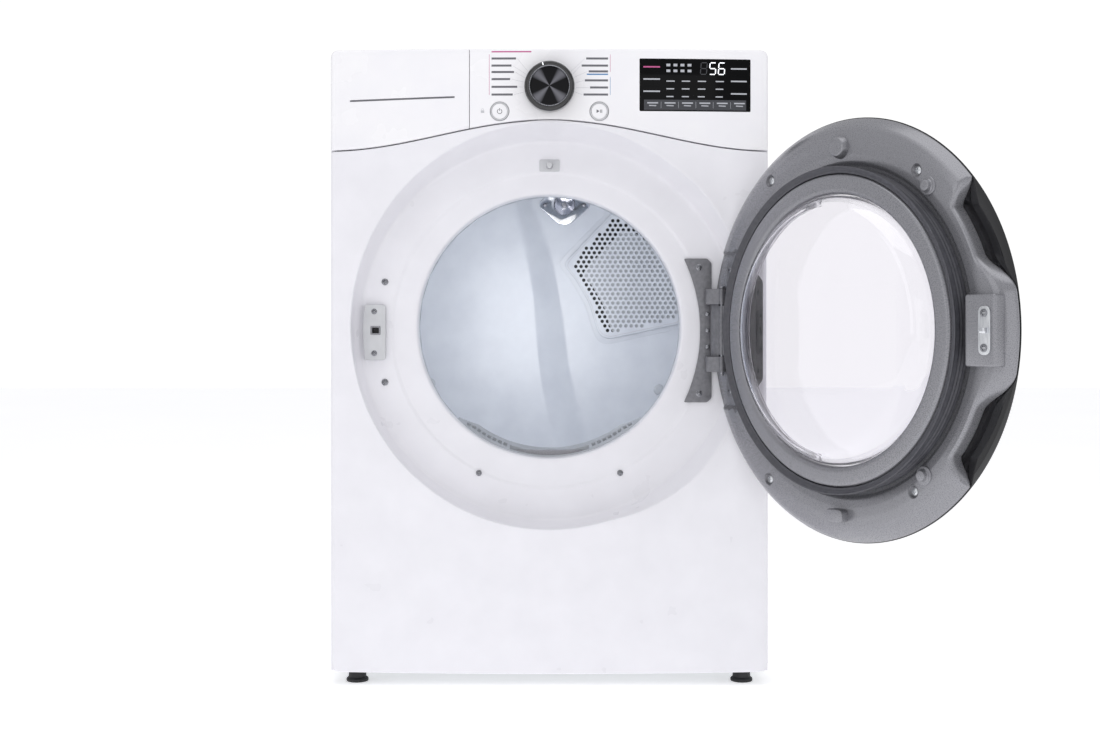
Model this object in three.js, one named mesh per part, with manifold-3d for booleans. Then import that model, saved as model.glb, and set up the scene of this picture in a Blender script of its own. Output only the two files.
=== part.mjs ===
// Front-loading clothes dryer with its door swung open, as an assembly of separate pieces.
// Millimetres, +Z up, +X to the right seen from the front, and the front faces -Y.
// The origin is in the middle of the cabinet, on the pressed pad under the base pan. The feet reach below it.
import * as THREE from 'three';
import { mergeVertices } from 'three/addons/utils/BufferGeometryUtils.js';
import Module from 'manifold-3d';

const wasm = await Module();
wasm.setup();

// Cabinet
const WIDTH = 686;
const HEIGHT = 972;
const DEPTH = 700;
const HALF_W = WIDTH / 2;
const FRONT_Y = -DEPTH / 2; // front plane, where the bowed front meets its side edges
const REAR_Y = DEPTH / 2;
const BULGE = 15; // how far the middle of the front bows out past that plane
const EDGE_R = 10; // upright front edges
const CORNER_R = 12; // corners seen from the front
const SHEET = 1.5; // steel sheet
const WALL = 3; // moulded plastic
const GAP = 0.4; // between pieces that touch
const RETURN_Y = FRONT_Y + 13; // where the folded edges of the front end
const SIDE_Y = RETURN_Y + 1; // where the side panels start
const TOP_BAND = 24; // height of the top panel's folded edge
const TOP_BACK_Y = -292; // where the fascia ends and the top panel starts

// Recess, opening and drum
const DISH_Z = 534; // axis of the round recess and of the door
const DISH_R = 315;
const DRUM_Z = 540; // axis of the door opening and of the drum
const OPENING_R = 209;
const DRUM_R = 324.5;
const DRUM_MOUTH_R = 286;
const DRUM_FRONT_Y = -252;
const DRUM_REAR_Y = 286;
const FRONT_WALL_Y = -280; // middle of the front bulkhead sheet
const REAR_WALL_Y = 300; // front face of the rear bulkhead sheet

// Control strip
const SEAM_LOW = 279.5; // seam height above DISH_Z at the sides
const SEAM_RISE = 46.5; // how much higher it is in the middle
const SEAM_GAP = 2;
const DRAWER_EDGE_X = -124;
const DIAL_Z = DISH_Z + 377;
const DIAL_R = 39;
const BUTTON_X = 77.4;
const BUTTON_Z = DISH_Z + 340.5;
const BUTTON_R = 14.4;
const DISPLAY = { x0: 140, x1: 314, z0: DISH_Z + 341, z1: DISH_Z + 423 };

// Door, modelled closed: y from the flat of its inner frame, x and z from the recess axis
const DOOR_Y = FRONT_Y - 8; // that flat, when the door is closed
const HINGE_X = 269.5;
const HINGE_Y = 5.5;
const DOOR_OPEN = 123.3; // degrees
const DOOR_R = 299.7;
const DOME = 45; // how far the outer cover bulges
const RIM_Y = -4;
const STRIKE_X = -275;

// Drive
const MOTOR = { x: 120, z: 105 };
const PULLEY_R = 10;
const IDLER = { x: 230, z: 130, r: 22 };
const IDLER_ARM = 40; // the pivot lies this far left of and below the idler
const BELT = { y0: 20, y1: 30, thick: 2.8 };
const ROLLER_R = 38;
const ROLLER_OFFSET = 257; // sideways and down from the drum axis
const EXHAUST = { x: -40, z: 68, r: 50, end: 370 };
const FOOT = { x: 305, y: 310, soleZ: -22 };

const SEGMENTS = 32; // sides of the large turned rings
const BOW_STEPS = 8; // flats across the bow

const finish = (color, roughness, metalness = 0) => (
  new THREE.MeshStandardMaterial({ color, roughness, metalness })
);
const WHITE = finish(0xf4f4f6, 0.35);
const GALVANISED = finish(0xb4b8bc, 0.45, 0.8);
const ENAMEL = finish(0xcdd4df, 0.4);
const GREY_PLASTIC = finish(0x85858a, 0.4, 0.3);
const HINGE_STEEL = finish(0x6b6b70, 0.45, 0.6);
const BLACK_GLOSS = finish(0x0b0b0d, 0.12);
const BLACK_PLASTIC = finish(0x1b1b1d, 0.5);
const RUBBER = finish(0x26262a, 0.8);
const CLEAR_GLASS = finish(0xe8eef2, 0.05);
const BOARD_GREEN = finish(0x2f6b3c, 0.6);
const FELT = finish(0x8d8a84, 0.95);
const ALUMINIUM = finish(0xc9ccd0, 0.4, 0.9);
const LIGHT_PLASTIC = finish(0xd9dbde, 0.5);

// A closed geometry as a solid for joining and cutting.
function solid(geometry) {
  geometry.deleteAttribute('normal');
  geometry.deleteAttribute('uv');
  const merged = mergeVertices(geometry, 1e-3);
  const index = merged.index.array;
  const triangles = [];
  for (let i = 0; i < index.length; i += 3) {
    const [a, b, c] = [index[i], index[i + 1], index[i + 2]];
    if (a !== b && b !== c && c !== a) triangles.push(a, b, c);
  }
  return new wasm.Manifold(new wasm.Mesh({
    numProp: 3,
    vertProperties: new Float32Array(merged.attributes.position.array),
    triVerts: new Uint32Array(triangles),
  }));
}

// A solid as a named mesh in a group.
function part(name, shape, material, parent) {
  const { vertProperties, triVerts } = shape.getMesh();
  const geometry = new THREE.BufferGeometry();
  geometry.setAttribute('position', new THREE.BufferAttribute(new Float32Array(vertProperties), 3));
  geometry.setIndex(new THREE.BufferAttribute(new Uint32Array(triVerts), 1));
  const mesh = new THREE.Mesh(geometry, material.clone());
  mesh.name = name;
  parent.add(mesh);
  return mesh;
}

function block(x0, x1, y0, y1, z0, z1) {
  const geometry = new THREE.BoxGeometry(x1 - x0, y1 - y0, z1 - z0);
  geometry.translate((x0 + x1) / 2, (y0 + y1) / 2, (z0 + z1) / 2);
  return solid(geometry);
}

function rodY(radius, y0, y1, x = 0, z = 0, segments = 16) {
  const geometry = new THREE.CylinderGeometry(radius, radius, y1 - y0, segments);
  geometry.translate(x, (y0 + y1) / 2, z);
  return solid(geometry);
}

function rodZ(radius, z0, z1, x = 0, y = 0, segments = 16) {
  const geometry = new THREE.CylinderGeometry(radius, radius, z1 - z0, segments);
  geometry.rotateX(Math.PI / 2);
  geometry.translate(x, y, (z0 + z1) / 2);
  return solid(geometry);
}

// Turns [radius, y] points about the depth axis. The outline closes on itself or on the axis.
function turned(points, segments = SEGMENTS) {
  let area = 0;
  points.forEach(([r, y], i) => {
    const [nextR, nextY] = points[(i + 1) % points.length];
    area += r * nextY - nextR * y;
  });
  const profile = points.map(([r, y]) => new THREE.Vector2(r, y));
  if (area < 0) profile.reverse();
  const onAxis = profile[0].x === 0 && profile[profile.length - 1].x === 0;
  if (!onAxis) profile.push(profile[0].clone());
  return solid(new THREE.LatheGeometry(profile, segments));
}

const outline = (points) => new THREE.Shape(points.map(([a, b]) => new THREE.Vector2(a, b)));

// Extrudes an outline: [x, y] points upwards, [x, z] points in depth.
function slabXY(points, z0, z1) {
  const geometry = new THREE.ExtrudeGeometry(outline(points), { depth: z1 - z0, bevelEnabled: false });
  geometry.translate(0, 0, z0);
  return solid(geometry);
}

function slabXZ(points, y0, y1) {
  const geometry = new THREE.ExtrudeGeometry(outline(points), { depth: y1 - y0, bevelEnabled: false });
  geometry.rotateX(Math.PI / 2);
  geometry.translate(0, y1, 0);
  return solid(geometry);
}

// Points of an arc, angles in degrees from the first axis towards the second.
function arc(cx, cy, radius, from, to, steps) {
  return Array.from({ length: steps + 1 }, (_, i) => {
    const angle = THREE.MathUtils.degToRad(from + (to - from) * i / steps);
    return [cx + radius * Math.cos(angle), cy + radius * Math.sin(angle)];
  });
}

function roundedBox(x0, x1, z0, z1, r, steps = 3) {
  return [
    ...arc(x1 - r, z1 - r, r, 0, 90, steps),
    ...arc(x0 + r, z1 - r, r, 90, 180, steps),
    ...arc(x0 + r, z0 + r, r, 180, 270, steps),
    ...arc(x1 - r, z0 + r, r, 270, 360, steps),
  ];
}

// The bowed front: depth at a place across it, and its plan outline set in by a thickness.
const frontAt = (x) => FRONT_Y - BULGE * (1 - (x / HALF_W) ** 2);

function frontOutline(inset, backY) {
  const half = HALF_W - inset;
  const edge = half - EDGE_R;
  const cornerY = frontAt(edge) + inset + EDGE_R;
  const bow = [];
  for (let i = 1; i < BOW_STEPS; i += 1) {
    const x = edge - 2 * edge * i / BOW_STEPS;
    bow.push([x, frontAt(x) + inset]);
  }
  return [
    [half, backY],
    ...arc(edge, cornerY, EDGE_R, 0, -90, 3),
    ...bow,
    ...arc(-edge, cornerY, EDGE_R, -90, -180, 3),
    [-half, backY],
  ];
}

// The solid inside the bowed front, set in by a thickness.
const frontVolume = (inset, backY, z0, z1) => slabXY(frontOutline(inset, backY), z0, z1);

// The seam between panel and control strip climbs to its middle as a squared cosine.
const seamZ = (x) => (
  DISH_Z + SEAM_LOW + SEAM_RISE * Math.cos(Math.PI * x / (2 * HALF_W)) ** 2
);

function seamPoints(rise, steps = 16) {
  return Array.from({ length: steps + 1 }, (_, i) => {
    const x = -HALF_W + WIDTH * i / steps;
    return [x, seamZ(x) + rise];
  });
}

// The two rounded top corners, set in by a thickness.
const topCorners = (inset) => [
  ...arc(HALF_W - CORNER_R, HEIGHT - CORNER_R, CORNER_R - inset, 0, 90, 4),
  ...arc(CORNER_R - HALF_W, HEIGHT - CORNER_R, CORNER_R - inset, 90, 180, 4),
];

// Cabinet sheets ------------------------------------------------------------------------------

function sidePanel(side) {
  const inner = HALF_W - SHEET;
  const flange = 20;
  const frontFlange = 8;
  const rearFold = REAR_Y - SHEET - GAP;
  const plan = [
    [HALF_W, SIDE_Y], [HALF_W, REAR_Y], [inner, REAR_Y], [inner, rearFold],
    [inner - flange, rearFold], [inner - flange, rearFold - SHEET], [inner, rearFold - SHEET],
    [inner, SIDE_Y + SHEET], [inner - frontFlange, SIDE_Y + SHEET], [inner - frontFlange, SIDE_Y],
  ];
  return slabXY(plan.map(([x, y]) => [side * x, y]), 0, HEIGHT - TOP_BAND - GAP);
}

function topPanel() {
  const bottom = HEIGHT - TOP_BAND;
  const half = HALF_W - SHEET;
  return slabXZ([[-HALF_W, bottom], [HALF_W, bottom], ...topCorners(0)], TOP_BACK_Y + GAP, REAR_Y)
    .subtract(slabXZ(
      [[-half, bottom - 1], [half, bottom - 1], ...topCorners(SHEET)], TOP_BACK_Y - 1, REAR_Y - SHEET,
    ));
}

const TERMINAL = { x0: -280, x1: -190, z0: 90, z1: 170 };

function rearPanel() {
  const half = HALF_W - SHEET - GAP;
  return block(-half, half, REAR_Y - SHEET, REAR_Y, 3, HEIGHT - TOP_BAND - GAP)
    .subtract(rodY(EXHAUST.r + 2, REAR_Y - 9, REAR_Y + 9, EXHAUST.x, EXHAUST.z, 24))
    .subtract(slabXZ(
      roundedBox(TERMINAL.x0 + 12, TERMINAL.x1 - 12, TERMINAL.z0 + 12, TERMINAL.z1 - 12, 6),
      REAR_Y - 9, REAR_Y + 9,
    ));
}

function terminalCover() {
  const { x0, x1, z0, z1 } = TERMINAL;
  const y0 = REAR_Y + GAP;
  return slabXZ(roundedBox(x0, x1, z0, z1, 8), y0, y0 + 12)
    .subtract(slabXZ(roundedBox(x0 + 2, x1 - 2, z0 + 2, z1 - 2, 6), y0 - 1, y0 + 10));
}

const PAN_Z = 1; // underside of the pan
const PAD = { x0: -70, x1: 50, half: 60 }; // pressed down to zero height

function basePan() {
  const half = HALF_W - SHEET - GAP;
  const y0 = SIDE_Y + SHEET + GAP;
  const y1 = REAR_Y - 2 * SHEET - 2 * GAP;
  let pan = block(-half, half, y0, y1, PAN_Z, PAN_Z + 16)
    .subtract(block(SHEET - half, half - SHEET, y0 + SHEET, y1 - SHEET, PAN_Z + SHEET, 99))
    .add(block(PAD.x0, PAD.x1, -PAD.half, PAD.half, 0, PAN_Z + SHEET));
  for (const [sx, sy] of [[1, 1], [1, -1], [-1, 1], [-1, -1]]) {
    const x = sx * FOOT.x;
    const y = sy * FOOT.y;
    pan = pan.add(rodZ(14, PAN_Z + 1, PAN_Z + 12, x, y));
    pan = pan.subtract(rodZ(6.8, -9, 40, x, y));
  }
  return pan;
}

// One levelling foot about the upright axis, hung from its threaded boss.
function foot() {
  return turned([
    [0, FOOT.soleZ], [17.5, FOOT.soleZ], [17.5, FOOT.soleZ + 5], [14, FOOT.soleZ + 7], [14, -1], [6, -1],
    [6, 26], [0, 26],
  ], 12);
}

// Front panel with its round recess -----------------------------------------------------------

// Front face and back face of the recess as [radius, depth behind the front plane].
const DISH_FLOOR = 36;
const DISH_FACE = [
  [326, -20], [320, -5], [DISH_R, 1], [311, 7], [302, DISH_FLOOR - 5], [297, DISH_FLOOR], [252, DISH_FLOOR + 1],
  [248, DISH_FLOOR + 3], [200, DISH_FLOOR + 4],
];
const DISH_BACK = [
  [200, DISH_FLOOR + 6], [249, DISH_FLOOR + 5], [253, DISH_FLOOR + 3], [299, DISH_FLOOR + 2], [313.5, 8],
  [317, 3], [322, -3.5], [328.6, -20],
];

const placed = (points, y) => points.map(([r, depth]) => [r, depth + y]);

// A ring turned about the depth axis and moved to a height.
function ringAt(z, points, segments = SEGMENTS) {
  return turned(points, segments).translate([0, 0, z]);
}

function frontPanel() {
  const skin = frontVolume(0, RETURN_Y, 0, HEIGHT)
    .subtract(frontVolume(SHEET, RETURN_Y + 1, -1, HEIGHT + 1))
    .intersect(slabXZ([
      ...arc(-HALF_W + CORNER_R, CORNER_R, CORNER_R, 180, 270, 4),
      ...arc(HALF_W - CORNER_R, CORNER_R, CORNER_R, 270, 360, 4),
      ...seamPoints(0).reverse(),
    ], -400, -300));
  const dish = ringAt(DISH_Z, placed([...DISH_FACE, ...DISH_BACK], FRONT_Y))
    .intersect(frontVolume(0, 0, 0, HEIGHT))
    .subtract(rodY(OPENING_R + 2.5, -320, -290, 0, DRUM_Z, SEGMENTS));
  const lip = ringAt(DRUM_Z, placed([
    [213.5, DISH_FLOOR + 4.2], [OPENING_R, DISH_FLOOR + 8], [OPENING_R, 68], [211, 68], [211, DISH_FLOOR + 9],
    [213.5, DISH_FLOOR + 5.8],
  ], FRONT_Y));
  return skin
    .subtract(turned(placed([[0, -30], [330.6, -20], [321.2, -3], [321.2, 20], [0, 20]], FRONT_Y))
      .translate([0, 0, DISH_Z]))
    .add(dish)
    .add(lip)
    .subtract(rodY(5.4, -330, -290, 0, DISH_Z + 261));
}

// Control strip -------------------------------------------------------------------------------

function stripVolume() {
  return frontVolume(0, TOP_BACK_Y, 700, HEIGHT)
    .intersect(slabXZ([...seamPoints(SEAM_GAP), ...topCorners(0)], -400, -250));
}

function stripHollow(inset) {
  const half = HALF_W - inset;
  return frontVolume(inset, TOP_BACK_Y + 1, 699, HEIGHT)
    .intersect(slabXZ([[-half, 690], [half, 690], ...topCorners(inset)], -400, -250));
}

function controlFascia() {
  const strip = stripVolume();
  const partition = block(DRAWER_EDGE_X, DRAWER_EDGE_X + WALL, -400, RETURN_Y + GAP, 700, HEIGHT);
  const { x0, x1, z0, z1 } = DISPLAY;
  return strip
    .subtract(stripHollow(WALL))
    .add(strip.intersect(partition))
    .subtract(block(-400, DRAWER_EDGE_X, -400, RETURN_Y + GAP, 700, 1000))
    .subtract(block(-400, 400, RETURN_Y + GAP, 0, 700, HEIGHT - TOP_BAND + GAP))
    .subtract(block(x0, x1, -400, -340, z0, z1))
    .subtract(rodY(4.8, -400, -340, 0, DIAL_Z))
    .subtract(rodY(BUTTON_R + 0.8, -400, -340, -BUTTON_X, BUTTON_Z, 16))
    .subtract(rodY(BUTTON_R + 0.8, -400, -340, BUTTON_X, BUTTON_Z, 16));
}

function displayWindow() {
  const { x0, x1, z0, z1 } = DISPLAY;
  return stripVolume()
    .subtract(stripHollow(WALL))
    .intersect(block(x0 + GAP, x1 - GAP, -400, -341, z0 + GAP, z1 - GAP));
}

function drawerFront() {
  const strip = stripVolume();
  const grip = strip
    .subtract(stripHollow(1.8))
    .intersect(block(-312, -147, -400, -341, DISH_Z + 359, DISH_Z + 362));
  return strip
    .subtract(stripHollow(WALL))
    .intersect(block(-400, DRAWER_EDGE_X - 0.8, -400, RETURN_Y, 700, 1000))
    .subtract(grip);
}

const DRAWER = { x0: -330, x1: -134, y0: -346.5, y1: -125, z0: 857, z1: 955 };

function drawerTray() {
  const { x0, x1, y0, y1, z0, z1 } = DRAWER;
  return block(x0, x1, y0, y1, z0, z1)
    .subtract(block(x0 + 2, x1 - 2, y0 + 2, y1 - 2, z0 + 2, z1 + 1));
}

function drawerHousing() {
  const { x0, x1, y1, z0, z1 } = DRAWER;
  return block(x0 - 3, x1 + 3, SIDE_Y + 2, y1 + 15, z0 - 4, z1 + 7)
    .subtract(block(x0 - 1.5, x1 + 1.5, -400, y1 + 13, z0 - 2, z1 + 5));
}

function dial() {
  return turned([
    [0, -22], [31, -22], [31.6, -21.2], [37, -21.6], [DIAL_R, -19], [DIAL_R, 0],
    [4, 0], [4, 20], [0, 20],
  ], 28);
}

function pushButton() {
  return turned([
    [0, -1.2], [BUTTON_R, -1], [BUTTON_R, 5], [BUTTON_R + 2.2, 5], [BUTTON_R + 2.2, 7], [0, 7],
  ], 16);
}

// Latch and hinge -----------------------------------------------------------------------------

function latchCatch() {
  const y0 = FRONT_Y + DISH_FLOOR - 9;
  const y1 = FRONT_Y + DISH_FLOOR - GAP;
  return slabXZ(roundedBox(-298, -259, -47, 41, 6), y0, y1)
    .intersect(rodY(295.5, y0 - 1, y1 + 1, 0, 0, 96))
    .subtract(block(STRIKE_X - 6, STRIKE_X + 6, y0 - 1, y1 + 1, -5, 5));
}

const KNUCKLE_Z = 53;
const KNUCKLE_R = 5;
const PIN_R = 3;

function hingeCabinetLeaf() {
  const y0 = FRONT_Y + DISH_FLOOR - 2.5;
  const pinY = DOOR_Y + HINGE_Y;
  let leaf = slabXZ([
    ...arc(-23.9, 0, 262.9, -25.7, 25.7, 10),
    [250, 114], [257, 107], [257, -107], [250, -114],
  ], y0, y0 + 2);
  const web = [[254.5, 35], [256.5, 35], [256.5, 17], [266.5, 5], [265, 3.5], [254.5, 16]];
  leaf = leaf.add(slabXY(web.map(([x, y]) => [x, y + FRONT_Y]), -42, 42));
  for (const side of [-1, 1]) {
    const [z0, z1] = [side * KNUCKLE_Z - 12, side * KNUCKLE_Z + 12];
    leaf = leaf
      .add(slabXY([[246, 35], [256.5, 35], [256.5, 17], [268.5, 2.4], [264.9, -4.2], [246, 10]]
        .map(([x, y]) => [x, y + FRONT_Y]), z0, z1))
      .add(rodZ(KNUCKLE_R, z0, z1, HINGE_X, pinY));
  }
  return leaf.subtract(rodZ(PIN_R + 0.3, -80, 80, HINGE_X, pinY));
}

function hingePin() {
  const pinY = DOOR_Y + HINGE_Y;
  return rodZ(PIN_R, -70, 66, HINGE_X, pinY).add(rodZ(4.6, 65.6, 69, HINGE_X, pinY));
}

function hingeDoorLeaf() {
  return slabXZ([
    ...arc(238, -98, 6, 180, 270, 2), ...arc(256, -98, 6, 270, 360, 2), ...arc(256, 98, 6, 0, 90, 2),
    ...arc(238, 98, 6, 90, 180, 2), [232, 80], [243.5, 66], [243.5, -66], [232, -80],
  ], 0.4, 2.4)
    .add(slabXY([[255, 0.4], [255, 2.4], [261, 4.6], [268, 10], [271, 1.6], [262, 0.4]], -38, 38))
    .add(rodZ(KNUCKLE_R, -38, 38, HINGE_X, HINGE_Y))
    .subtract(rodZ(PIN_R + 0.3, -80, 80, HINGE_X, HINGE_Y));
}

// Door, modelled closed about its own centre ----------------------------------------------------

const SHOULDER = 14; // how far the frame's flat stands up behind its rim, except at the hinge
const COLLAR = [[219, 6], [219, 31], [214, 36], [195, 36], [190.3, 31], [190.3, 20]];
const COLLAR_BACK = [[193.3, 20], [193.3, 30], [197, 33.4], [213, 33.4], [216.4, 30], [216.4, 3.2]];
const LOW_FRAME = [[298, -3.6], [298, -1.5], [292, 0], [236, 0], [230, 5], ...COLLAR, ...COLLAR_BACK, [235, -3.2]];
const HIGH_FRAME = [
  [298, -3.6], [298, -1.5], [291, 8], [283, SHOULDER], [239, SHOULDER], [233, 8], ...COLLAR, ...COLLAR_BACK,
  [230.5, 4], [237.5, SHOULDER - 3.2], [282, SHOULDER - 3.2], [288.5, 5.6], [292, -0.5], [292, -3.6],
];
const STRIKE_PAD = 29; // top of the pad under the strike
const BAY = 118; // half height of the low bay at the hinge

// A notch in the rim between two angles above or below the handle side.
function rimNotch(from, to) {
  const inner = arc(0, 0, 262, from + 4, to - 4, 4);
  const outer = arc(0, 0, 310, to, from, 4);
  return slabXZ([...inner, ...outer], -9, 30);
}

function doorFrame() {
  const bay = block(200, 320, -20, 60, -BAY, BAY);
  const shoulder = turned([[242, -3.4], [298, -3.6], [298, -1.5], [291, 8], [283, SHOULDER], [242, SHOULDER]]);
  let frame = turned(HIGH_FRAME).subtract(bay).add(turned(LOW_FRAME).intersect(bay));
  for (const side of [-1, 1]) {
    const ends = [side * BAY, side * (BAY + 3)].sort((a, b) => a - b);
    frame = frame.add(shoulder.intersect(block(200, 320, -20, 60, ...ends)));
  }
  return frame
    .add(slabXZ(roundedBox(-286, -237, -46, 46, 4), 8, STRIKE_PAD))
    .add(turned([[0, 9], [16, 9], [16, 16], [14, 24], [0, 24]], 20).translate([0, 0, 258]))
    .add(slabXZ(roundedBox(-16, 16, -269, -251, 8), 9, 28))
    .add(rodY(6, 9, SHOULDER + 7, -163, 191))
    .add(rodY(6, 9, SHOULDER + 7, -156, -192))
    .subtract(rimNotch(180 - 42, 180 - 9.5))
    .subtract(rimNotch(180 + 10.5, 180 + 43));
}

const domeY = (r) => RIM_Y - DOME * (1 - (r / DOOR_R) ** 2);
const domeFace = (radii, inset = 0) => radii.map((r) => [r, domeY(r) + inset]);
const WINDOW_R = 240;

function doorOuterRing() {
  return turned([
    ...domeFace([WINDOW_R + GAP, 262, 282, DOOR_R]),
    [DOOR_R, RIM_Y + 0.01], [288, RIM_Y + 0.01], [264, -9.5], [261, RIM_Y - GAP], [257, RIM_Y - GAP],
    ...domeFace([255, WINDOW_R + GAP], WALL),
  ]);
}

function doorOuterWindow() {
  return turned([
    ...domeFace([0, 80, 160, WINDOW_R - 0.6]),
    ...domeFace([WINDOW_R - 0.6, 160, 80, 0], WALL),
  ]);
}

function doorGlass() {
  return turned([
    [0, 56], [163, 54.5], [177, 50], [189.2, 32], [189.2, 20],
    [185.4, 20], [185.4, 30.6], [174, 46.6], [161, 50.6], [0, 52],
  ]);
}

function doorGasket() {
  return turned([[219.8, 8.6], [227, 8.6], [225, 30], [230, 38], [219.8, 33]]);
}

function doorHingeCover() {
  const edge = 172;
  return slabXZ([
    [edge, -86], ...arc(0, 0, 215, -23.5, 23.5, 6), [edge, 86],
  ], 4, 19);
}

function doorStrike() {
  const y0 = STRIKE_PAD + 0.4;
  return slabXZ(roundedBox(-280, -261, -31, 31, 9.4, 4), y0, y0 + 2.2)
    .add(block(STRIKE_X - 2.5, STRIKE_X + 2.5, y0 + 2, 40.5, -3.5, 3.5))
    .add(block(STRIKE_X - 2.5, STRIKE_X + 4.6, 37.5, 40.5, -3.5, 3.5));
}

// Drum ----------------------------------------------------------------------------------------

function drumShell() {
  const [f, r] = [DRUM_FRONT_Y, DRUM_REAR_Y];
  const t = SHEET;
  return turned([
    [DRUM_MOUTH_R, f], [DRUM_MOUTH_R, f + 6], [DRUM_R, f + 26], [DRUM_R, r],
    [DRUM_R - t, r], [DRUM_R - t, f + 27], [DRUM_MOUTH_R - t, f + 7], [DRUM_MOUTH_R - t, f],
  ], 48);
}

// A lifter above the drum axis; the other two are the same piece turned about the axis.
function lifter() {
  return slabXZ([
    [-38, 319], [-13, 272], [-8, 268], [8, 268], [13, 272], [38, 319], [0, 321.2],
  ], -200, 250);
}

// Bulkheads -----------------------------------------------------------------------------------

const CHANNEL = { inner: 212, outer: 278.4, back: -238 };
const LINT_SLOT = { x: 64, y0: -276, y1: -258 };

const lintSlot = (z0, z1) => (
  block(-LINT_SLOT.x, LINT_SLOT.x, LINT_SLOT.y0, LINT_SLOT.y1, z0, z1)
);

function grilleSector(side, from, to, r0, r1, y0, y1) {
  const low = 270 + side * from;
  const high = 270 + side * to;
  return slabXZ([...arc(0, 0, r0, low, high, 4), ...arc(0, 0, r1, high, low, 4)], y0, y1)
    .translate([0, 0, DRUM_Z]);
}

function frontBulkhead() {
  const { inner, outer, back } = CHANNEL;
  const front = FRONT_WALL_Y - 1;
  let wall = slabXZ(roundedBox(-334, 334, 212, 848, 40), front, FRONT_WALL_Y + 1)
    .subtract(rodY(inner + 1, -300, -270, 0, DRUM_Z, SEGMENTS))
    .add(ringAt(DRUM_Z, [[inner, front], [outer, front], [outer, back], [inner, back]]))
    .subtract(ringAt(DRUM_Z, [
      [inner + 2.5, front + 2], [outer - 3, front + 2], [outer - 3, back - 2.5], [inner + 2.5, back - 2.5],
    ]))
    .subtract(lintSlot(255, 345));
  for (const side of [-1, 1]) {
    wall = wall
      .subtract(grilleSector(side, 19, 41, inner - 4, inner + 4, -274, -248))
      .add(rodY(5, FRONT_WALL_Y, -198, side * ROLLER_OFFSET, DRUM_Z - ROLLER_OFFSET));
  }
  return wall;
}

// The sloped strip at the bottom of the opening, with two rows of square holes.
function outletGrille() {
  const sector = slabXZ([[0, 0], ...arc(0, 0, 300, 225, 315, 6)], -300, -200).translate([0, 0, DRUM_Z]);
  let strip = ringAt(DRUM_Z, [[211.2, -278.8], [208.6, -278.8], [197, -240.6], [211.2, -240.6]])
    .intersect(sector)
    .subtract(lintSlot(300, 360));
  for (const side of [-1, 1]) {
    for (let i = 0; i < 8; i += 1) {
      const angle = side * THREE.MathUtils.degToRad(20.6 + 2.7 * i);
      const hole = new THREE.BoxGeometry(6.4, 14, 40);
      hole.translate(0, -261, -205);
      hole.rotateY(-angle);
      hole.translate(0, 0, DRUM_Z);
      strip = strip.subtract(solid(hole));
    }
  }
  return strip;
}

// Air inlet outline on the rear wall, from the recess axis: a fan-shaped patch with round corners.
const INLET_OUTLINE = [
  [125, 234], [36, 141], [30, 128], [52, 101], [79, 55], [95, 0], [104, -13], [120, -17],
  [262, 14], ...arc(0, 0, 275, 8, 55, 5),
];

const inletOutline = (scale) => {
  const [cx, cz] = [160, 110];
  return INLET_OUTLINE.map(([x, z]) => [cx + (x - cx) * scale, DISH_Z + cz + (z - cz) * scale]);
};

const LAMP = { x: 30, z: DISH_Z + 250 };

function rearBulkhead() {
  let wall = slabXZ(roundedBox(-334, 334, 212, 868, 40), REAR_WALL_Y, REAR_WALL_Y + 2)
    .add(ringAt(DRUM_Z, [[308, 284], [312.4, 284], [312.4, 301], [308, 301]]))
    .subtract(slabXZ(inletOutline(0.9), 290, 310))
    .subtract(rodY(22, 290, 310, LAMP.x, LAMP.z, 24));
  for (const side of [-1, 1]) {
    wall = wall.add(rodY(5, 259, 301, side * ROLLER_OFFSET, DRUM_Z - ROLLER_OFFSET));
  }
  return wall;
}

function inletGrille() {
  const y0 = REAR_WALL_Y - 3.4;
  let plate = slabXZ(inletOutline(1), y0, REAR_WALL_Y - GAP);
  const pitch = 38;
  for (let row = 0; row < 6; row += 1) {
    for (let i = 0; i < 6; i += 1) {
      const x = 60 + pitch * (i + (row % 2) / 2);
      const z = 16 + pitch * 0.866 * row;
      const inside = Math.hypot(x, z) < 245 && x > 60 + Math.abs(z - 128) * 0.42 && z > (x - 90) * 0.2;
      if (inside) plate = plate.subtract(rodY(12, y0 - 1, REAR_WALL_Y, x, DISH_Z + z, 6));
    }
  }
  return plate;
}

function lampBezel() {
  return slabXZ([
    ...arc(-8, 0, 12, 120, 240, 3), ...arc(30, -10, 30, 240, 300, 4),
    ...arc(68, 0, 12, -60, 60, 3), ...arc(30, 10, 30, 60, 120, 3),
  ].map(([x, z]) => [x, z + LAMP.z]), REAR_WALL_Y - 4, REAR_WALL_Y - GAP)
    .subtract(rodY(21, 280, 310, LAMP.x, LAMP.z, 24));
}

function lampLens() {
  return turned([[0, -10], [9, -9], [16, -6], [20, -1], [20, 2], [0, 2]], 24);
}

// Air path ------------------------------------------------------------------------------------

function lintDuct() {
  const outer = slabXZ(
    [[-70, 208], [70, 208], [176, 160], [176, 50], [64, 50], [-70, 150]], -276, -205,
  ).add(block(-70, 70, -276, -256.6, 200, DRUM_Z - CHANNEL.outer - GAP));
  const hollow = slabXZ(
    [[-67.6, 205.6], [69.4, 205.6], [173.6, 158.4], [173.6, 52.4], [65, 52.4], [-67.6, 151.2]], -274.4, -206.6,
  ).add(block(-67.6, 67.6, -274.4, -258.2, 200, 300));
  return outer.subtract(hollow).subtract(rodY(46, -208, -200, MOTOR.x, MOTOR.z, 24));
}

function lintFilter() {
  let filter = block(-59, 59, -273, -261, 192, 332)
    .add(block(-62, 62, -275.4, -258.6, 330, 341));
  for (const side of [-1, 1]) {
    filter = filter.subtract(block(side * 29.5 - 25.5, side * 29.5 + 25.5, -280, -250, 204, 316));
  }
  return filter;
}

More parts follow.
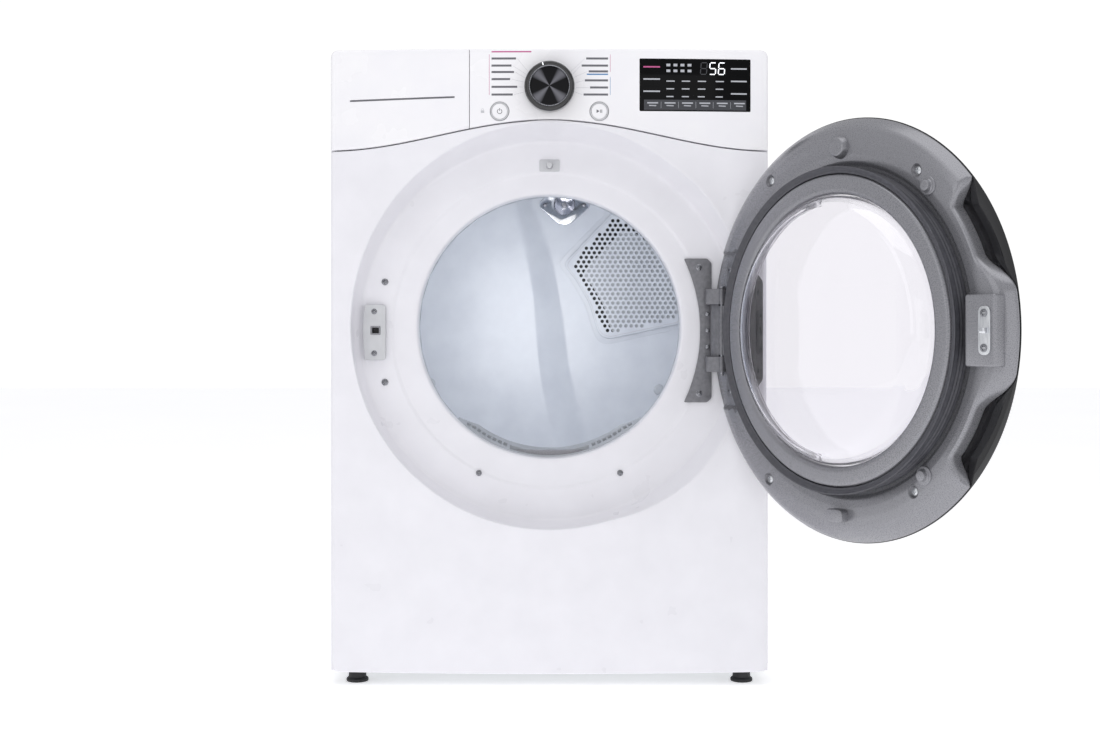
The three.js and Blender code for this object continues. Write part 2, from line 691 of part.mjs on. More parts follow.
function blowerHousing() {
  const { x, z } = MOTOR;
  return rodY(88, -204, -141, x, z, 28).add(block(-94, x, -204, -141, 14, 119))
    .subtract(rodY(85.6, -201.6, -143.4, x, z, 28).add(block(-91.6, x, -201.6, -143.4, 16.4, 116.6)))
    .subtract(rodY(46, -210, -200, x, z, 24))
    .subtract(rodY(14, -145, -130, x, z))
    .subtract(rodY(47, -145, -130, EXHAUST.x, EXHAUST.z, 24));
}

function blowerWheel() {
  let wheel = turned([[6.5, -34], [12, -34], [12, 0], [70, 0], [70, 3], [6.5, 3]], 24)
    .add(turned([[60, -38], [70, -38], [70, -35], [60, -35]], 24));
  const blades = 10;
  for (let i = 0; i < blades; i += 1) {
    const blade = new THREE.BoxGeometry(2, 37, 16);
    blade.translate(0, -18, 61);
    blade.rotateY(i * 2 * Math.PI / blades);
    wheel = wheel.add(solid(blade));
  }
  return wheel;
}

function exhaustDuct() {
  const { x, z, r, end } = EXHAUST;
  return turned([[r - 1.5, -140.6], [r, -140.6], [r, end], [r - 1.5, end]], 24).translate([x, 0, z]);
}

function heaterHousing() {
  return block(150, 270, 100, 302, 40, 150).subtract(block(151.5, 268.5, 90, 310, 41.5, 148.5));
}

function rearAirDuct() {
  const y0 = REAR_WALL_Y + 2 + GAP;
  return block(20, 275, y0, 346, 30, 790)
    .subtract(block(21.5, 273.5, y0 + 1.5, 344.5, 31.5, 788.5))
    .subtract(slabXZ(inletOutline(0.88), y0 - 2, y0 + 3))
    .subtract(block(152, 268, y0 - 2, y0 + 3, 42, 148));
}

// Drive ---------------------------------------------------------------------------------------

const PIVOT = { x: IDLER.x - IDLER_ARM, z: IDLER.z - IDLER_ARM };

function motorBody() {
  const { x, z } = MOTOR;
  return turned([[31, -118], [58, -118], [58, -14], [31, -14]], 24).translate([x, 0, z])
    .add(block(78, 162, -100, -32, 5, 60).subtract(rodY(45, -110, -20, x, z, 24)))
    .add(block(70, 205, -116, 46, 3, 6))
    .add(block(PIVOT.x - 8, PIVOT.x + 8, 40.4, 46, 5, PIVOT.z + 8))
    .add(rodY(5, 33, 42, PIVOT.x, PIVOT.z));
}

function motorShaft() {
  return turned([
    [0, -192], [6, -192], [6, -96], [28, -96], [28, -32], [6, -32], [6, 15], [12.5, 15], [12.5, 17.5],
    [PULLEY_R, 18], [PULLEY_R, 32], [12.5, 32.5], [12.5, 35], [0, 35],
  ], 12);
}

function idlerArm() {
  const [a, b] = [PIVOT, IDLER];
  const half = 7 / Math.SQRT2;
  return slabXZ([
    [a.x + half, a.z - half], [b.x + half, b.z - half], [b.x - half, b.z + half], [a.x - half, a.z + half],
  ], 34.4, 38.4)
    .add(rodY(10, 34.4, 38.4, a.x, a.z))
    .add(rodY(9, 34.4, 38.4, b.x, b.z))
    .add(rodY(5, 16, 36, b.x, b.z))
    .subtract(rodY(5.6, 30, 42, a.x, a.z));
}

function idlerPulley() {
  const { r } = IDLER;
  return turned([[5.6, 17], [r + 2, 17], [r, 19], [r, 31], [r + 2, 33], [5.6, 33]], 20);
}

// The outer boundary of a set of points, walked once round.
function hull(points) {
  const sorted = [...points].sort((a, b) => a[0] - b[0] || a[1] - b[1]);
  const turn = (o, a, b) => (a[0] - o[0]) * (b[1] - o[1]) - (a[1] - o[1]) * (b[0] - o[0]);
  const chain = (list) => {
    const kept = [];
    for (const p of list) {
      while (kept.length > 1 && turn(kept[kept.length - 2], kept[kept.length - 1], p) <= 1e-6) kept.pop();
      kept.push(p);
    }
    kept.pop();
    return kept;
  };
  return [...chain(sorted), ...chain(sorted.reverse())];
}

// A flat loop round drum, motor pulley and idler.
function driveBelt() {
  const loop = (extra) => hull([
    ...arc(0, DRUM_Z, DRUM_R + 1.7 + extra, 0, 360, 48),
    ...arc(MOTOR.x, MOTOR.z, PULLEY_R + 1.2 + extra, 0, 360, 12),
    ...arc(IDLER.x, IDLER.z, IDLER.r + 1.1 + extra, 0, 360, 18),
  ]);
  return slabXZ(loop(BELT.thick), BELT.y0, BELT.y1).subtract(slabXZ(loop(0), BELT.y0 - 1, BELT.y1 + 1));
}

function roller() {
  return turned([[5.6, -9], [ROLLER_R, -8], [ROLLER_R, 8], [5.6, 9]], 20);
}

// Assembly ------------------------------------------------------------------------------------

const dryer = new THREE.Group();

function addCabinet() {
  part('left_side_panel', sidePanel(-1), WHITE, dryer);
  part('right_side_panel', sidePanel(1), WHITE, dryer);
  part('top_panel', topPanel(), WHITE, dryer);
  part('rear_panel', rearPanel(), GALVANISED, dryer);
  part('terminal_cover', terminalCover(), GALVANISED, dryer);
  part('base_pan', basePan(), GALVANISED, dryer);
  part('front_panel', frontPanel(), WHITE, dryer);
  for (const [name, sx, sy] of [
    ['foot_front_left', -1, -1], ['foot_front_right', 1, -1], ['foot_rear_left', -1, 1], ['foot_rear_right', 1, 1],
  ]) {
    const mesh = part(name, foot(), BLACK_PLASTIC, dryer);
    mesh.rotation.x = Math.PI / 2;
    mesh.position.set(sx * FOOT.x, sy * FOOT.y, 0);
  }
}

function addControls() {
  part('control_fascia', controlFascia(), WHITE, dryer);
  part('display_window', displayWindow(), BLACK_GLOSS, dryer);
  part('control_board', block(138, 316, -339.6, -338, DISPLAY.z0 - 3, DISPLAY.z1 + 3), BOARD_GREEN, dryer);
  part('program_dial', dial(), BLACK_GLOSS, dryer).position.set(0, frontAt(0) - 1, DIAL_Z);
  const buttonY = frontAt(BUTTON_X);
  part('power_button', pushButton(), LIGHT_PLASTIC, dryer).position.set(-BUTTON_X, buttonY, BUTTON_Z);
  part('start_button', pushButton(), LIGHT_PLASTIC, dryer).position.set(BUTTON_X, buttonY, BUTTON_Z);
  part('drawer_front', drawerFront(), WHITE, dryer);
  part('drawer_tray', drawerTray(), LIGHT_PLASTIC, dryer);
  part('drawer_housing', drawerHousing(), LIGHT_PLASTIC, dryer);
}

function addDoorFittings() {
  part('latch_catch', latchCatch(), GREY_PLASTIC, dryer).position.z = DISH_Z;
  part('hinge_cabinet_leaf', hingeCabinetLeaf(), HINGE_STEEL, dryer).position.z = DISH_Z;
  part('hinge_pin', hingePin(), HINGE_STEEL, dryer).position.z = DISH_Z;
  const plunger = turned([[0, -20], [4.5, -19], [4.5, 8], [8, 8], [8, 11], [0, 11]], 12);
  part('door_switch_plunger', plunger, LIGHT_PLASTIC, dryer).position.set(0, FRONT_Y + DISH_FLOOR + 2, DISH_Z + 261);
}

// The door is modelled closed and stands open, turned about its pin.
function addDoor() {
  const door = new THREE.Group();
  door.position.set(HINGE_X, DOOR_Y + HINGE_Y, DISH_Z);
  door.rotation.z = THREE.MathUtils.degToRad(DOOR_OPEN);
  dryer.add(door);
  const closed = new THREE.Group();
  closed.position.set(-HINGE_X, -HINGE_Y, 0);
  door.add(closed);
  part('door_frame', doorFrame(), GREY_PLASTIC, closed);
  part('door_outer_ring', doorOuterRing(), BLACK_GLOSS, closed);
  part('door_outer_window', doorOuterWindow(), CLEAR_GLASS, closed);
  part('door_glass', doorGlass(), CLEAR_GLASS, closed);
  part('door_gasket', doorGasket(), RUBBER, closed);
  part('door_hinge_cover', doorHingeCover(), BLACK_PLASTIC, closed);
  part('door_strike', doorStrike(), ALUMINIUM, closed);
  part('hinge_door_leaf', hingeDoorLeaf(), HINGE_STEEL, closed);
}

function addDrum() {
  part('drum_shell', drumShell(), ENAMEL, dryer).position.z = DRUM_Z;
  for (const [i, name] of ['lifter_1', 'lifter_2', 'lifter_3'].entries()) {
    const mesh = part(name, lifter(), ENAMEL, dryer);
    mesh.position.z = DRUM_Z;
    mesh.rotation.y = i * 2 * Math.PI / 3;
  }
  part('front_bulkhead', frontBulkhead(), GALVANISED, dryer);
  part('rear_bulkhead', rearBulkhead(), ENAMEL, dryer);
  const frontFelt = turned([[279.2, -256], [283, -256], [283, -240], [279.2, -240]]);
  part('front_felt_seal', frontFelt, FELT, dryer).position.z = DRUM_Z;
  const rearFelt = turned([[313.2, 272], [321, 272], [321, 296], [313.2, 296]]);
  part('rear_felt_seal', rearFelt, FELT, dryer).position.z = DRUM_Z;
  part('inlet_grille', inletGrille(), GALVANISED, dryer);
  part('lamp_bezel', lampBezel(), ALUMINIUM, dryer);
  part('lamp_lens', lampLens(), CLEAR_GLASS, dryer).position.set(LAMP.x, REAR_WALL_Y, LAMP.z);
  part('outlet_grille', outletGrille(), GREY_PLASTIC, dryer);
  for (const [name, side, y] of [
    ['roller_front_left', -1, -211], ['roller_front_right', 1, -211],
    ['roller_rear_left', -1, 273], ['roller_rear_right', 1, 273],
  ]) {
    part(name, roller(), RUBBER, dryer).position.set(side * ROLLER_OFFSET, y, DRUM_Z - ROLLER_OFFSET);
  }
}

function addAirPath() {
  part('lint_duct', lintDuct(), LIGHT_PLASTIC, dryer);
  part('lint_filter', lintFilter(), GREY_PLASTIC, dryer);
  part('blower_housing', blowerHousing(), LIGHT_PLASTIC, dryer);
  part('exhaust_duct', exhaustDuct(), GALVANISED, dryer);
  part('heater_housing', heaterHousing(), GALVANISED, dryer);
  part('rear_air_duct', rearAirDuct(), GALVANISED, dryer);
}

function addDrive() {
  part('motor_body', motorBody(), GALVANISED, dryer);
  part('motor_shaft', motorShaft(), ALUMINIUM, dryer).position.set(MOTOR.x, 0, MOTOR.z);
  part('blower_wheel', blowerWheel(), BLACK_PLASTIC, dryer).position.set(MOTOR.x, -157, MOTOR.z);
  part('idler_arm', idlerArm(), GALVANISED, dryer);
  part('idler_pulley', idlerPulley(), BLACK_PLASTIC, dryer).position.set(IDLER.x, 0, IDLER.z);
  part('drive_belt', driveBelt(), RUBBER, dryer);
}

addCabinet();
addControls();
addDoorFittings();
addDoor();
addDrum();
addAirPath();
addDrive();

export default dryer;
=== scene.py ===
"""A front-loading clothes dryer with its round door swung open on the right.

All lengths are millimetres unless a name says otherwise; the mesh maker turns them to metres.
+Z is up, +X is to the right seen from the front, and the front faces -Y.
"""
import math

import bmesh
import bpy
import numpy as np
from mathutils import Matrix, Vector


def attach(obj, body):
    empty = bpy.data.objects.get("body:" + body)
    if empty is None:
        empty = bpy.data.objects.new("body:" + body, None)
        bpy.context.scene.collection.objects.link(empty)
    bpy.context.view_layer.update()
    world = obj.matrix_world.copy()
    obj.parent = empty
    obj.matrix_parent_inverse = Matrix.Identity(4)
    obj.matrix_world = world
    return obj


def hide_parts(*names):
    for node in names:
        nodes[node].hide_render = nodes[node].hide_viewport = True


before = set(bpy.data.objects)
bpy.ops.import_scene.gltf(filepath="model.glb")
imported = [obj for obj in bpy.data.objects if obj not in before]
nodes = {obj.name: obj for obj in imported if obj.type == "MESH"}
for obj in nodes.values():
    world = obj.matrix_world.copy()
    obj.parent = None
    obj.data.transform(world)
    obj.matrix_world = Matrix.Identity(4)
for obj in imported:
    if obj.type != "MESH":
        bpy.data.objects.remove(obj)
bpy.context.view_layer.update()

MM = 0.001

# Cabinet
HALF_W = 343
HEIGHT = 972
FRONT_Y = -350
BULGE = 15
EDGE_R = 10
CORNER_R = 12
RETURN_Y = -337
TOP_BACK_Y = -292

# Recess, opening and drum
DISH_Z = 534
DRUM_Z = 540
DISH_FLOOR = 36
DISH_R = 309
REAR_WALL_Y = 300

# Control strip
SEAM_LOW = 279.5
SEAM_RISE = 46.5
SEAM_GAP = 2
DRAWER_EDGE_X = -124
DIAL_Z = DISH_Z + 377
BUTTON_X = 77.4
BUTTON_Z = DISH_Z + 340.5
BUTTON_R = 14.4

# Door, modelled closed about its own centre and then swung open about its pin
PIN = np.array([269.5, -352.5, DISH_Z])
PIN_FROM_CENTRE = np.array([269.5, 5.5, 0])
DOOR_OPEN = math.radians(123.3)
DOOR_R = 299.7
RIM_Y = -4
DOME = 45
WINDOW_R = 240
SHOULDER = 14
STRIKE_PAD = 29
BAY = 118

SWITCH_Z = DISH_Z + 261
LAMP_X, LAMP_Z = 30, DISH_Z + 250


# Camera -----------------------------------------------------------------------------------------

camera = bpy.data.objects.new("camera", bpy.data.cameras.new("camera"))
camera.data.sensor_width = 36
camera.data.lens = 49.5
camera.data.shift_x = 0.0005
camera.data.shift_y = -0.0314
camera.data.clip_end = 60
camera.location = (0, -2.714, 0.534)
camera.rotation_euler = (math.pi / 2, 0, 0)
bpy.context.scene.collection.objects.link(camera)
bpy.context.scene.camera = camera


# Materials --------------------------------------------------------------------------------------

def linear(colour):
    """An sRGB hex colour as linear RGBA: the usual power curve, with its straight foot."""
    c = np.array([int(colour[i:i + 2], 16) for i in (1, 3, 5)]) / 255
    c = np.where(c <= 0.04045, c / 12.92, ((c + 0.055) / 1.055) ** 2.4)
    return (*c.tolist(), 1.0)


def node(tree, kind, sockets=None, **settings):
    """Adds a node; a socket value that is another node's output is linked, any other is set."""
    made = tree.nodes.new(kind)
    for key, value in settings.items():
        setattr(made, key, value)
    for key, value in (sockets or {}).items():
        if isinstance(value, bpy.types.NodeSocket):
            tree.links.new(value, made.inputs[key])
        else:
            made.inputs[key].default_value = value
    return made


def shaded(name, colour, roughness, metallic=0.0, **sockets):
    """A material with its shader, output and object coordinates."""
    made = bpy.data.materials.new(name)
    made.use_nodes = True
    tree = made.node_tree
    tree.nodes.clear()
    values = {"Base Color": linear(colour), "Roughness": roughness, "Metallic": metallic}
    values.update({key.replace("_", " "): value for key, value in sockets.items()})
    shader = node(tree, "ShaderNodeBsdfPrincipled", values)
    node(tree, "ShaderNodeOutputMaterial", {"Surface": shader.outputs[0]})
    place = node(tree, "ShaderNodeTexCoord").outputs["Object"]
    return made, tree, shader, place


def speckle(tree, place, size, detail=3.0, stretch=(1, 1, 1)):
    """Noise whose grain is size mm across, drawn out along the axes by stretch."""
    spread = node(tree, "ShaderNodeMapping", {"Vector": place, "Scale": stretch})
    return node(tree, "ShaderNodeTexNoise", {
        "Vector": spread.outputs[0], "Scale": 1 / (size * MM), "Detail": detail,
    }).outputs["Fac"]


def vary(tree, shader, pattern, low, high, rough):
    """The pattern takes the colour from low to high, and the roughness across rough."""
    ramp = node(tree, "ShaderNodeMapRange", {
        "Value": pattern, "From Min": 0.3, "From Max": 0.7, "To Min": 0.0, "To Max": 1.0,
    })
    tint = node(tree, "ShaderNodeMix", {
        "Factor": ramp.outputs[0], 6: linear(low), 7: linear(high),
    }, data_type="RGBA")
    tree.links.new(tint.outputs[2], shader.inputs["Base Color"])
    dull = node(tree, "ShaderNodeMapRange", {
        "Value": pattern, "From Min": 0.3, "From Max": 0.7, "To Min": rough[0], "To Max": rough[1],
    })
    tree.links.new(dull.outputs[0], shader.inputs["Roughness"])


def relief(tree, shader, pattern, depth):
    """The pattern as bump, depth mm high."""
    bump = node(tree, "ShaderNodeBump", {"Height": pattern, "Distance": depth * MM, "Strength": 1.0})
    tree.links.new(bump.outputs[0], shader.inputs["Normal"])


def white_powder_coat():
    """Powder-coated steel: satin, with the fine orange peel of the baked coat."""
    made, tree, shader, place = shaded("white_powder_coat", "#ECEBF0", 0.3, Coat_Weight=0.12,
                                       Coat_Roughness=0.12)
    vary(tree, shader, speckle(tree, place, 60), "#E9E8ED", "#EEEDF2", (0.27, 0.34))
    relief(tree, shader, speckle(tree, place, 2.4, 1.0), 0.004)
    return made


def white_moulded_plastic():
    """Injection-moulded ABS: a smoother white than the steel, with a soft gloss."""
    made, tree, shader, place = shaded("white_moulded_plastic", "#F4F3F6", 0.26, Coat_Weight=0.2,
                                       Coat_Roughness=0.1)
    vary(tree, shader, speckle(tree, place, 80), "#F2F1F5", "#F7F6F8", (0.22, 0.3))
    relief(tree, shader, speckle(tree, place, 0.8, 1.0), 0.003)
    return made


def galvanised_sheet():
    """Hot-dip galvanised steel: flat grey with frosty spangles about 6 mm across."""
    made, tree, shader, place = shaded("galvanised_sheet", "#B7BBC0", 0.42, 0.85)
    spangle = node(tree, "ShaderNodeTexVoronoi", {"Vector": place, "Scale": 1 / (6 * MM)})
    tone = node(tree, "ShaderNodeSeparateColor", {"Color": spangle.outputs["Color"]}).outputs[0]
    vary(tree, shader, tone, "#B1B5BA", "#BDC1C5", (0.38, 0.48))
    relief(tree, shader, speckle(tree, place, 1.2, 2.0), 0.006)
    return made


def pale_enamel():
    """Grey-blue baked enamel on the drum and its rear wall: satin, faintly mottled."""
    made, tree, shader, place = shaded("pale_enamel", "#D2D6DD", 0.34, Coat_Weight=0.25, Coat_Roughness=0.15)
    vary(tree, shader, speckle(tree, place, 45), "#CED2DA", "#D6DAE1", (0.3, 0.4))
    relief(tree, shader, speckle(tree, place, 2.0, 1.0), 0.01)
    return made


def silver_grey_plastic():
    """ABS moulded with metal flake: grey with a soft metallic sheen and a fine sparkle."""
    made, tree, shader, place = shaded("silver_grey_plastic", "#8D8D92", 0.27, 0.45, Coat_Weight=0.3,
                                       Coat_Roughness=0.16)
    vary(tree, shader, speckle(tree, place, 0.9, 1.0), "#87878C", "#949499", (0.24, 0.32))
    relief(tree, shader, speckle(tree, place, 0.7, 1.0), 0.002)
    return made


def light_grey_plastic():
    """Plain moulded polypropylene, matt, with a fine spark-eroded texture."""
    made, tree, shader, place = shaded("light_grey_plastic", "#C9CACD", 0.5)
    vary(tree, shader, speckle(tree, place, 30), "#C4C5C8", "#D0D1D4", (0.45, 0.56))
    relief(tree, shader, speckle(tree, place, 0.6, 1.0), 0.01)
    return made


def mid_grey_plastic():
    """The same moulded plastic as the light grey, pigmented a little darker."""
    made, tree, shader, place = shaded("mid_grey_plastic", "#BCC0C6", 0.46)
    vary(tree, shader, speckle(tree, place, 30), "#B8BCC2", "#C1C5CB", (0.42, 0.52))
    relief(tree, shader, speckle(tree, place, 0.6, 1.0), 0.008)
    return made


def dark_hinge_steel():
    """Zinc-plated steel with a dark passivated finish: half metal, evenly grained."""
    made, tree, shader, place = shaded("dark_hinge_steel", "#7A7A7F", 0.42, 0.6)
    vary(tree, shader, speckle(tree, place, 6), "#727277", "#858589", (0.36, 0.5))
    relief(tree, shader, speckle(tree, place, 0.8, 2.0), 0.006)
    return made


def bright_steel():
    """Polished and nickel-plated screws, rivets and pins, with faint turning marks."""
    made, tree, shader, place = shaded("bright_steel", "#8E8F94", 0.26, 0.9)
    vary(tree, shader, speckle(tree, place, 1.5), "#84858A", "#9A9BA0", (0.2, 0.34))
    relief(tree, shader, speckle(tree, place, 0.5, 1.0), 0.001)
    return made


def brushed_aluminium():
    """Rolled aluminium brushed along its length, so its lines run up and down."""
    made, tree, shader, place = shaded("brushed_aluminium", "#D3D5D8", 0.34, 0.9)
    lines = speckle(tree, place, 0.7, 2.0, (1, 1, 0.05))
    vary(tree, shader, lines, "#C6C8CC", "#DFE1E3", (0.26, 0.42))
    relief(tree, shader, lines, 0.004)
    return made


def chrome_plate():
    """Chromium-plated plastic: a bright mirror with the slight waviness of moulding."""
    made, tree, shader, place = shaded("chrome_plate", "#E2E4E8", 0.07, 1.0)
    vary(tree, shader, speckle(tree, place, 8), "#DADCE1", "#E8EAEE", (0.05, 0.1))
    relief(tree, shader, speckle(tree, place, 14, 1.0), 0.02)
    return made


def piano_black():
    """Polished black plastic, lacquered: deep black with sharp reflections."""
    made, tree, shader, place = shaded("piano_black", "#0D0D0F", 0.08, Coat_Weight=0.6, Coat_Roughness=0.03)
    vary(tree, shader, speckle(tree, place, 50), "#0B0B0D", "#101013", (0.06, 0.1))
    relief(tree, shader, speckle(tree, place, 24, 1.0), 0.01)
    return made


def textured_black():
    """Black moulded plastic with a fine leather-like grain that keeps it matt."""
    made, tree, shader, place = shaded("textured_black", "#1A1A1C", 0.5)
    vary(tree, shader, speckle(tree, place, 4), "#161618", "#202023", (0.44, 0.58))
    relief(tree, shader, speckle(tree, place, 0.9, 2.0), 0.03)
    return made


def spun_black():
    """Black anodised disc turned on a lathe: fine rings, and four rays of painted highlight in its colour
    where light would fall on them.
    """
    made, tree, shader, place = shaded("spun_black", "#2A2A2D", 0.28, 0.8, Anisotropic=0.7)
    centred = node(tree, "ShaderNodeMapping", {"Vector": place, "Location": (0, 0, -DIAL_Z * MM)})
    flat = node(tree, "ShaderNodeVectorMath", {0: centred.outputs[0], 1: (1, 0, 1)}, operation="MULTIPLY")
    reach = node(tree, "ShaderNodeVectorMath", {0: flat.outputs[0]}, operation="LENGTH")
    rings = node(tree, "ShaderNodeTexNoise", {
        "W": reach.outputs["Value"], "Scale": 1 / (0.5 * MM), "Detail": 2.0,
    }, noise_dimensions="1D")
    axis = node(tree, "ShaderNodeSeparateXYZ", {0: flat.outputs[0]})
    turn = node(tree, "ShaderNodeMath", {0: axis.outputs["Z"], 1: axis.outputs["X"]}, operation="ARCTAN2")
    doubled = node(tree, "ShaderNodeMath", {0: turn.outputs[0], 1: 4.0}, operation="MULTIPLY")
    waved = node(tree, "ShaderNodeMath", {0: doubled.outputs[0]}, operation="COSINE")
    # Painted highlight: by direction round the disc, the colour goes from near black to light grey in four
    # rays.
    painted_rays = node(tree, "ShaderNodeMapRange", {
        "Value": waved.outputs[0], "From Min": -1.0, "From Max": -0.1, "To Min": 1.0, "To Max": 0.0,
    })
    tint = node(tree, "ShaderNodeMix", {
        "Factor": painted_rays.outputs[0], 6: linear("#151517"), 7: linear("#6E6E74"),
    }, data_type="RGBA")
    tree.links.new(tint.outputs[2], shader.inputs["Base Color"])
    relief(tree, shader, rings.outputs["Fac"], 0.01)
    return made


def display_glass():
    """Black-backed touch glass: almost black, mirror smooth."""
    made, tree, shader, place = shaded("display_glass", "#050506", 0.05, Specular_IOR_Level=0.12)
    vary(tree, shader, speckle(tree, place, 40), "#050506", "#08080A", (0.04, 0.07))
    return made


def moulded_rubber():
    """Black vulcanised rubber: dull, with a faint bloom."""
    made, tree, shader, place = shaded("moulded_rubber", "#232326", 0.7)
    vary(tree, shader, speckle(tree, place, 5), "#1E1E21", "#2C2C30", (0.62, 0.8))
    relief(tree, shader, speckle(tree, place, 1.1, 2.0), 0.03)
    return made


def seal_rubber():
    """Dark grey silicone of the door seal: softer and less black than the tyres' rubber."""
    made, tree, shader, place = shaded("seal_rubber", "#4A4A4F", 0.55)
    vary(tree, shader, speckle(tree, place, 6), "#44444A", "#525258", (0.48, 0.62))
    relief(tree, shader, speckle(tree, place, 1.0, 2.0), 0.02)
    return made


def pressed_glass():
    """Clear pressed soda-lime glass with the very slight waviness of its mould."""
    made, tree, shader, place = shaded("pressed_glass", "#F8F7FA", 0.0, Transmission_Weight=1.0, IOR=1.45)
    relief(tree, shader, speckle(tree, place, 70, 0.0), 0.02)
    return made


def pressed_felt():
    """Grey wool felt: matted fibres about 2 mm long, no shine."""
    made, tree, shader, place = shaded("pressed_felt", "#8D8A84", 0.95, Sheen_Weight=0.3)
    vary(tree, shader, speckle(tree, place, 2.0, 6.0), "#7C7973", "#9E9B94", (0.9, 1.0))
    relief(tree, shader, speckle(tree, place, 1.2, 6.0), 0.25)
    return made


def lacquered_board():
    """Green solder lacquer over copper tracks, which show as a faint grid."""
    made, tree, shader, place = shaded("lacquered_board", "#2F6B3C", 0.35)
    tracks = node(tree, "ShaderNodeTexBrick", {
        "Vector": place, "Scale": 1 / (12 * MM), "Mortar Size": 0.04,
        "Color1": linear("#2B6438"), "Color2": linear("#33723F"), "Mortar": linear("#4F8E57"),
    })
    tree.links.new(tracks.outputs["Color"], shader.inputs["Base Color"])
    relief(tree, shader, speckle(tree, place, 3), 0.02)
    return made


def printed(name, colour, glow=0.0):
    """Screen-printed ink, slightly uneven; with a glow it is a lit display segment."""
    made, tree, shader, place = shaded(name, colour, 0.45)
    vary(tree, shader, speckle(tree, place, 1.0), colour, colour, (0.4, 0.5))
    if glow:
        shader.inputs["Emission Color"].default_value = linear(colour)
        shader.inputs["Emission Strength"].default_value = glow
    return made


WHITE_COAT = white_powder_coat()
WHITE_PLASTIC = white_moulded_plastic()
GALVANISED = galvanised_sheet()
ENAMEL = pale_enamel()
GREY_PLASTIC = silver_grey_plastic()
LIGHT_PLASTIC = light_grey_plastic()
MID_PLASTIC = mid_grey_plastic()
HINGE_STEEL = dark_hinge_steel()
BRIGHT_STEEL = bright_steel()
ALUMINIUM = brushed_aluminium()
CHROME = chrome_plate()
PIANO_BLACK = piano_black()
TEXTURED_BLACK = textured_black()
SPUN_BLACK = spun_black()
DISPLAY_GLASS = display_glass()
RUBBER = moulded_rubber()
SEAL_RUBBER = seal_rubber()
GLASS = pressed_glass()
FELT = pressed_felt()
BOARD = lacquered_board()
INK_GREY = printed("ink_grey", "#6A6A70")
# The pale ink also draws a line of painted shade on the air inlet's plate.
PALE_INK_AND_SHADE = printed("ink_pale", "#C3C3C8")
INK_MAGENTA = printed("ink_magenta", "#C2588F")
INK_BLUE = printed("ink_blue", "#4F86B8")
LIT_WHITE = printed("lit_white", "#F2F5FA", 0.9)
LIT_DIM = printed("lit_dim", "#A5A7AD", 0.25)
LIT_GHOST = printed("lit_ghost", "#3A3B40")


# Mesh makers ------------------------------------------------------------------------------------

def grid_faces(rows, columns, wrap_rows=False, wrap_columns=False, start=0):
    """The quads of a grid of points, numbered row by row, with either direction closed on itself."""
    r = np.arange(rows if wrap_rows else rows - 1)[:, None]
    c = np.arange(columns if wrap_columns else columns - 1)[None, :]
    below, beside = (r + 1) % rows, (c + 1) % columns
    corners = np.stack([
        r * columns + c, r * columns + beside, below * columns + beside, below * columns + c,
    ], -1)
    return (corners.reshape(-1, 4) + start).tolist()


def piece(name, points, faces, body, material, place=None, crease=32, stands_for=(), slot=None):
    """Points in millimetres and their faces as an object: doubles merged, outward faces, soft shading."""
    points = np.asarray(points, float).reshape(-1, 3)
    if place is not None:
        points = place(points)
    mesh = bpy.data.meshes.new(name)
    mesh.from_pydata((points * MM).tolist(), [], faces)
    work = bmesh.new()
    work.from_mesh(mesh)
    bmesh.ops.remove_doubles(work, verts=work.verts, dist=2e-6)
    bmesh.ops.dissolve_degenerate(work, edges=work.edges, dist=1e-7)
    bmesh.ops.recalc_face_normals(work, faces=work.faces)
    work.to_mesh(mesh)
    work.free()
    mesh.shade_smooth()
    mesh.set_sharp_from_angle(angle=math.radians(crease))
    mesh.materials.append(material)
    made = bpy.data.objects.new(name, mesh)
    bpy.context.scene.collection.objects.link(made)
    if body:
        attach(made, body)
    if stands_for:
        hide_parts(*stands_for)
    return made


def combined(parts):
    """Several (points, faces) pairs as one, each part's faces moved up by the points before it."""
    points, faces, count = [], [], 0
    for part_points, part_faces in parts:
        part_points = np.asarray(part_points, float).reshape(-1, 3)
        points.append(part_points)
        faces += [[i + count for i in face] for face in part_faces]
        count += len(part_points)
    return np.concatenate(points), faces


def shell(front, thickness, around=False):
    """A curved sheet with thickness: each grid point moved back along the surface normal, which is the
    cross product of the grid's two directions, and the two skins joined round their edges."""
    rows, columns = front.shape[:2]
    if around:
        wide = np.concatenate([front[:, -1:], front, front[:, :1]], 1)
        sideways = wide[:, 2:] - wide[:, :-2]
    else:
        sideways = np.gradient(front, axis=1)
    normal = np.cross(np.gradient(front, axis=0), sideways)
    normal /= np.maximum(np.linalg.norm(normal, axis=2, keepdims=True), 1e-9)
    if normal[..., 1].mean() < 0:
        normal = -normal
    back = front + normal * thickness
    count = rows * columns
    faces = grid_faces(rows, columns, wrap_columns=around)
    faces += [face[::-1] for face in grid_faces(rows, columns, wrap_columns=around, start=count)]
    index = np.arange(count).reshape(rows, columns)
    edges = [index[0], index[-1]] if around else [
        np.concatenate([index[0], index[1:, -1], index[-1, -2::-1], index[-2:0:-1, 0]]),
    ]
    for edge in edges:
        onward = np.roll(edge, -1)
        faces += np.stack([edge, onward, onward + count, edge + count], -1).tolist()
    return np.concatenate([front.reshape(-1, 3), back.reshape(-1, 3)]), faces


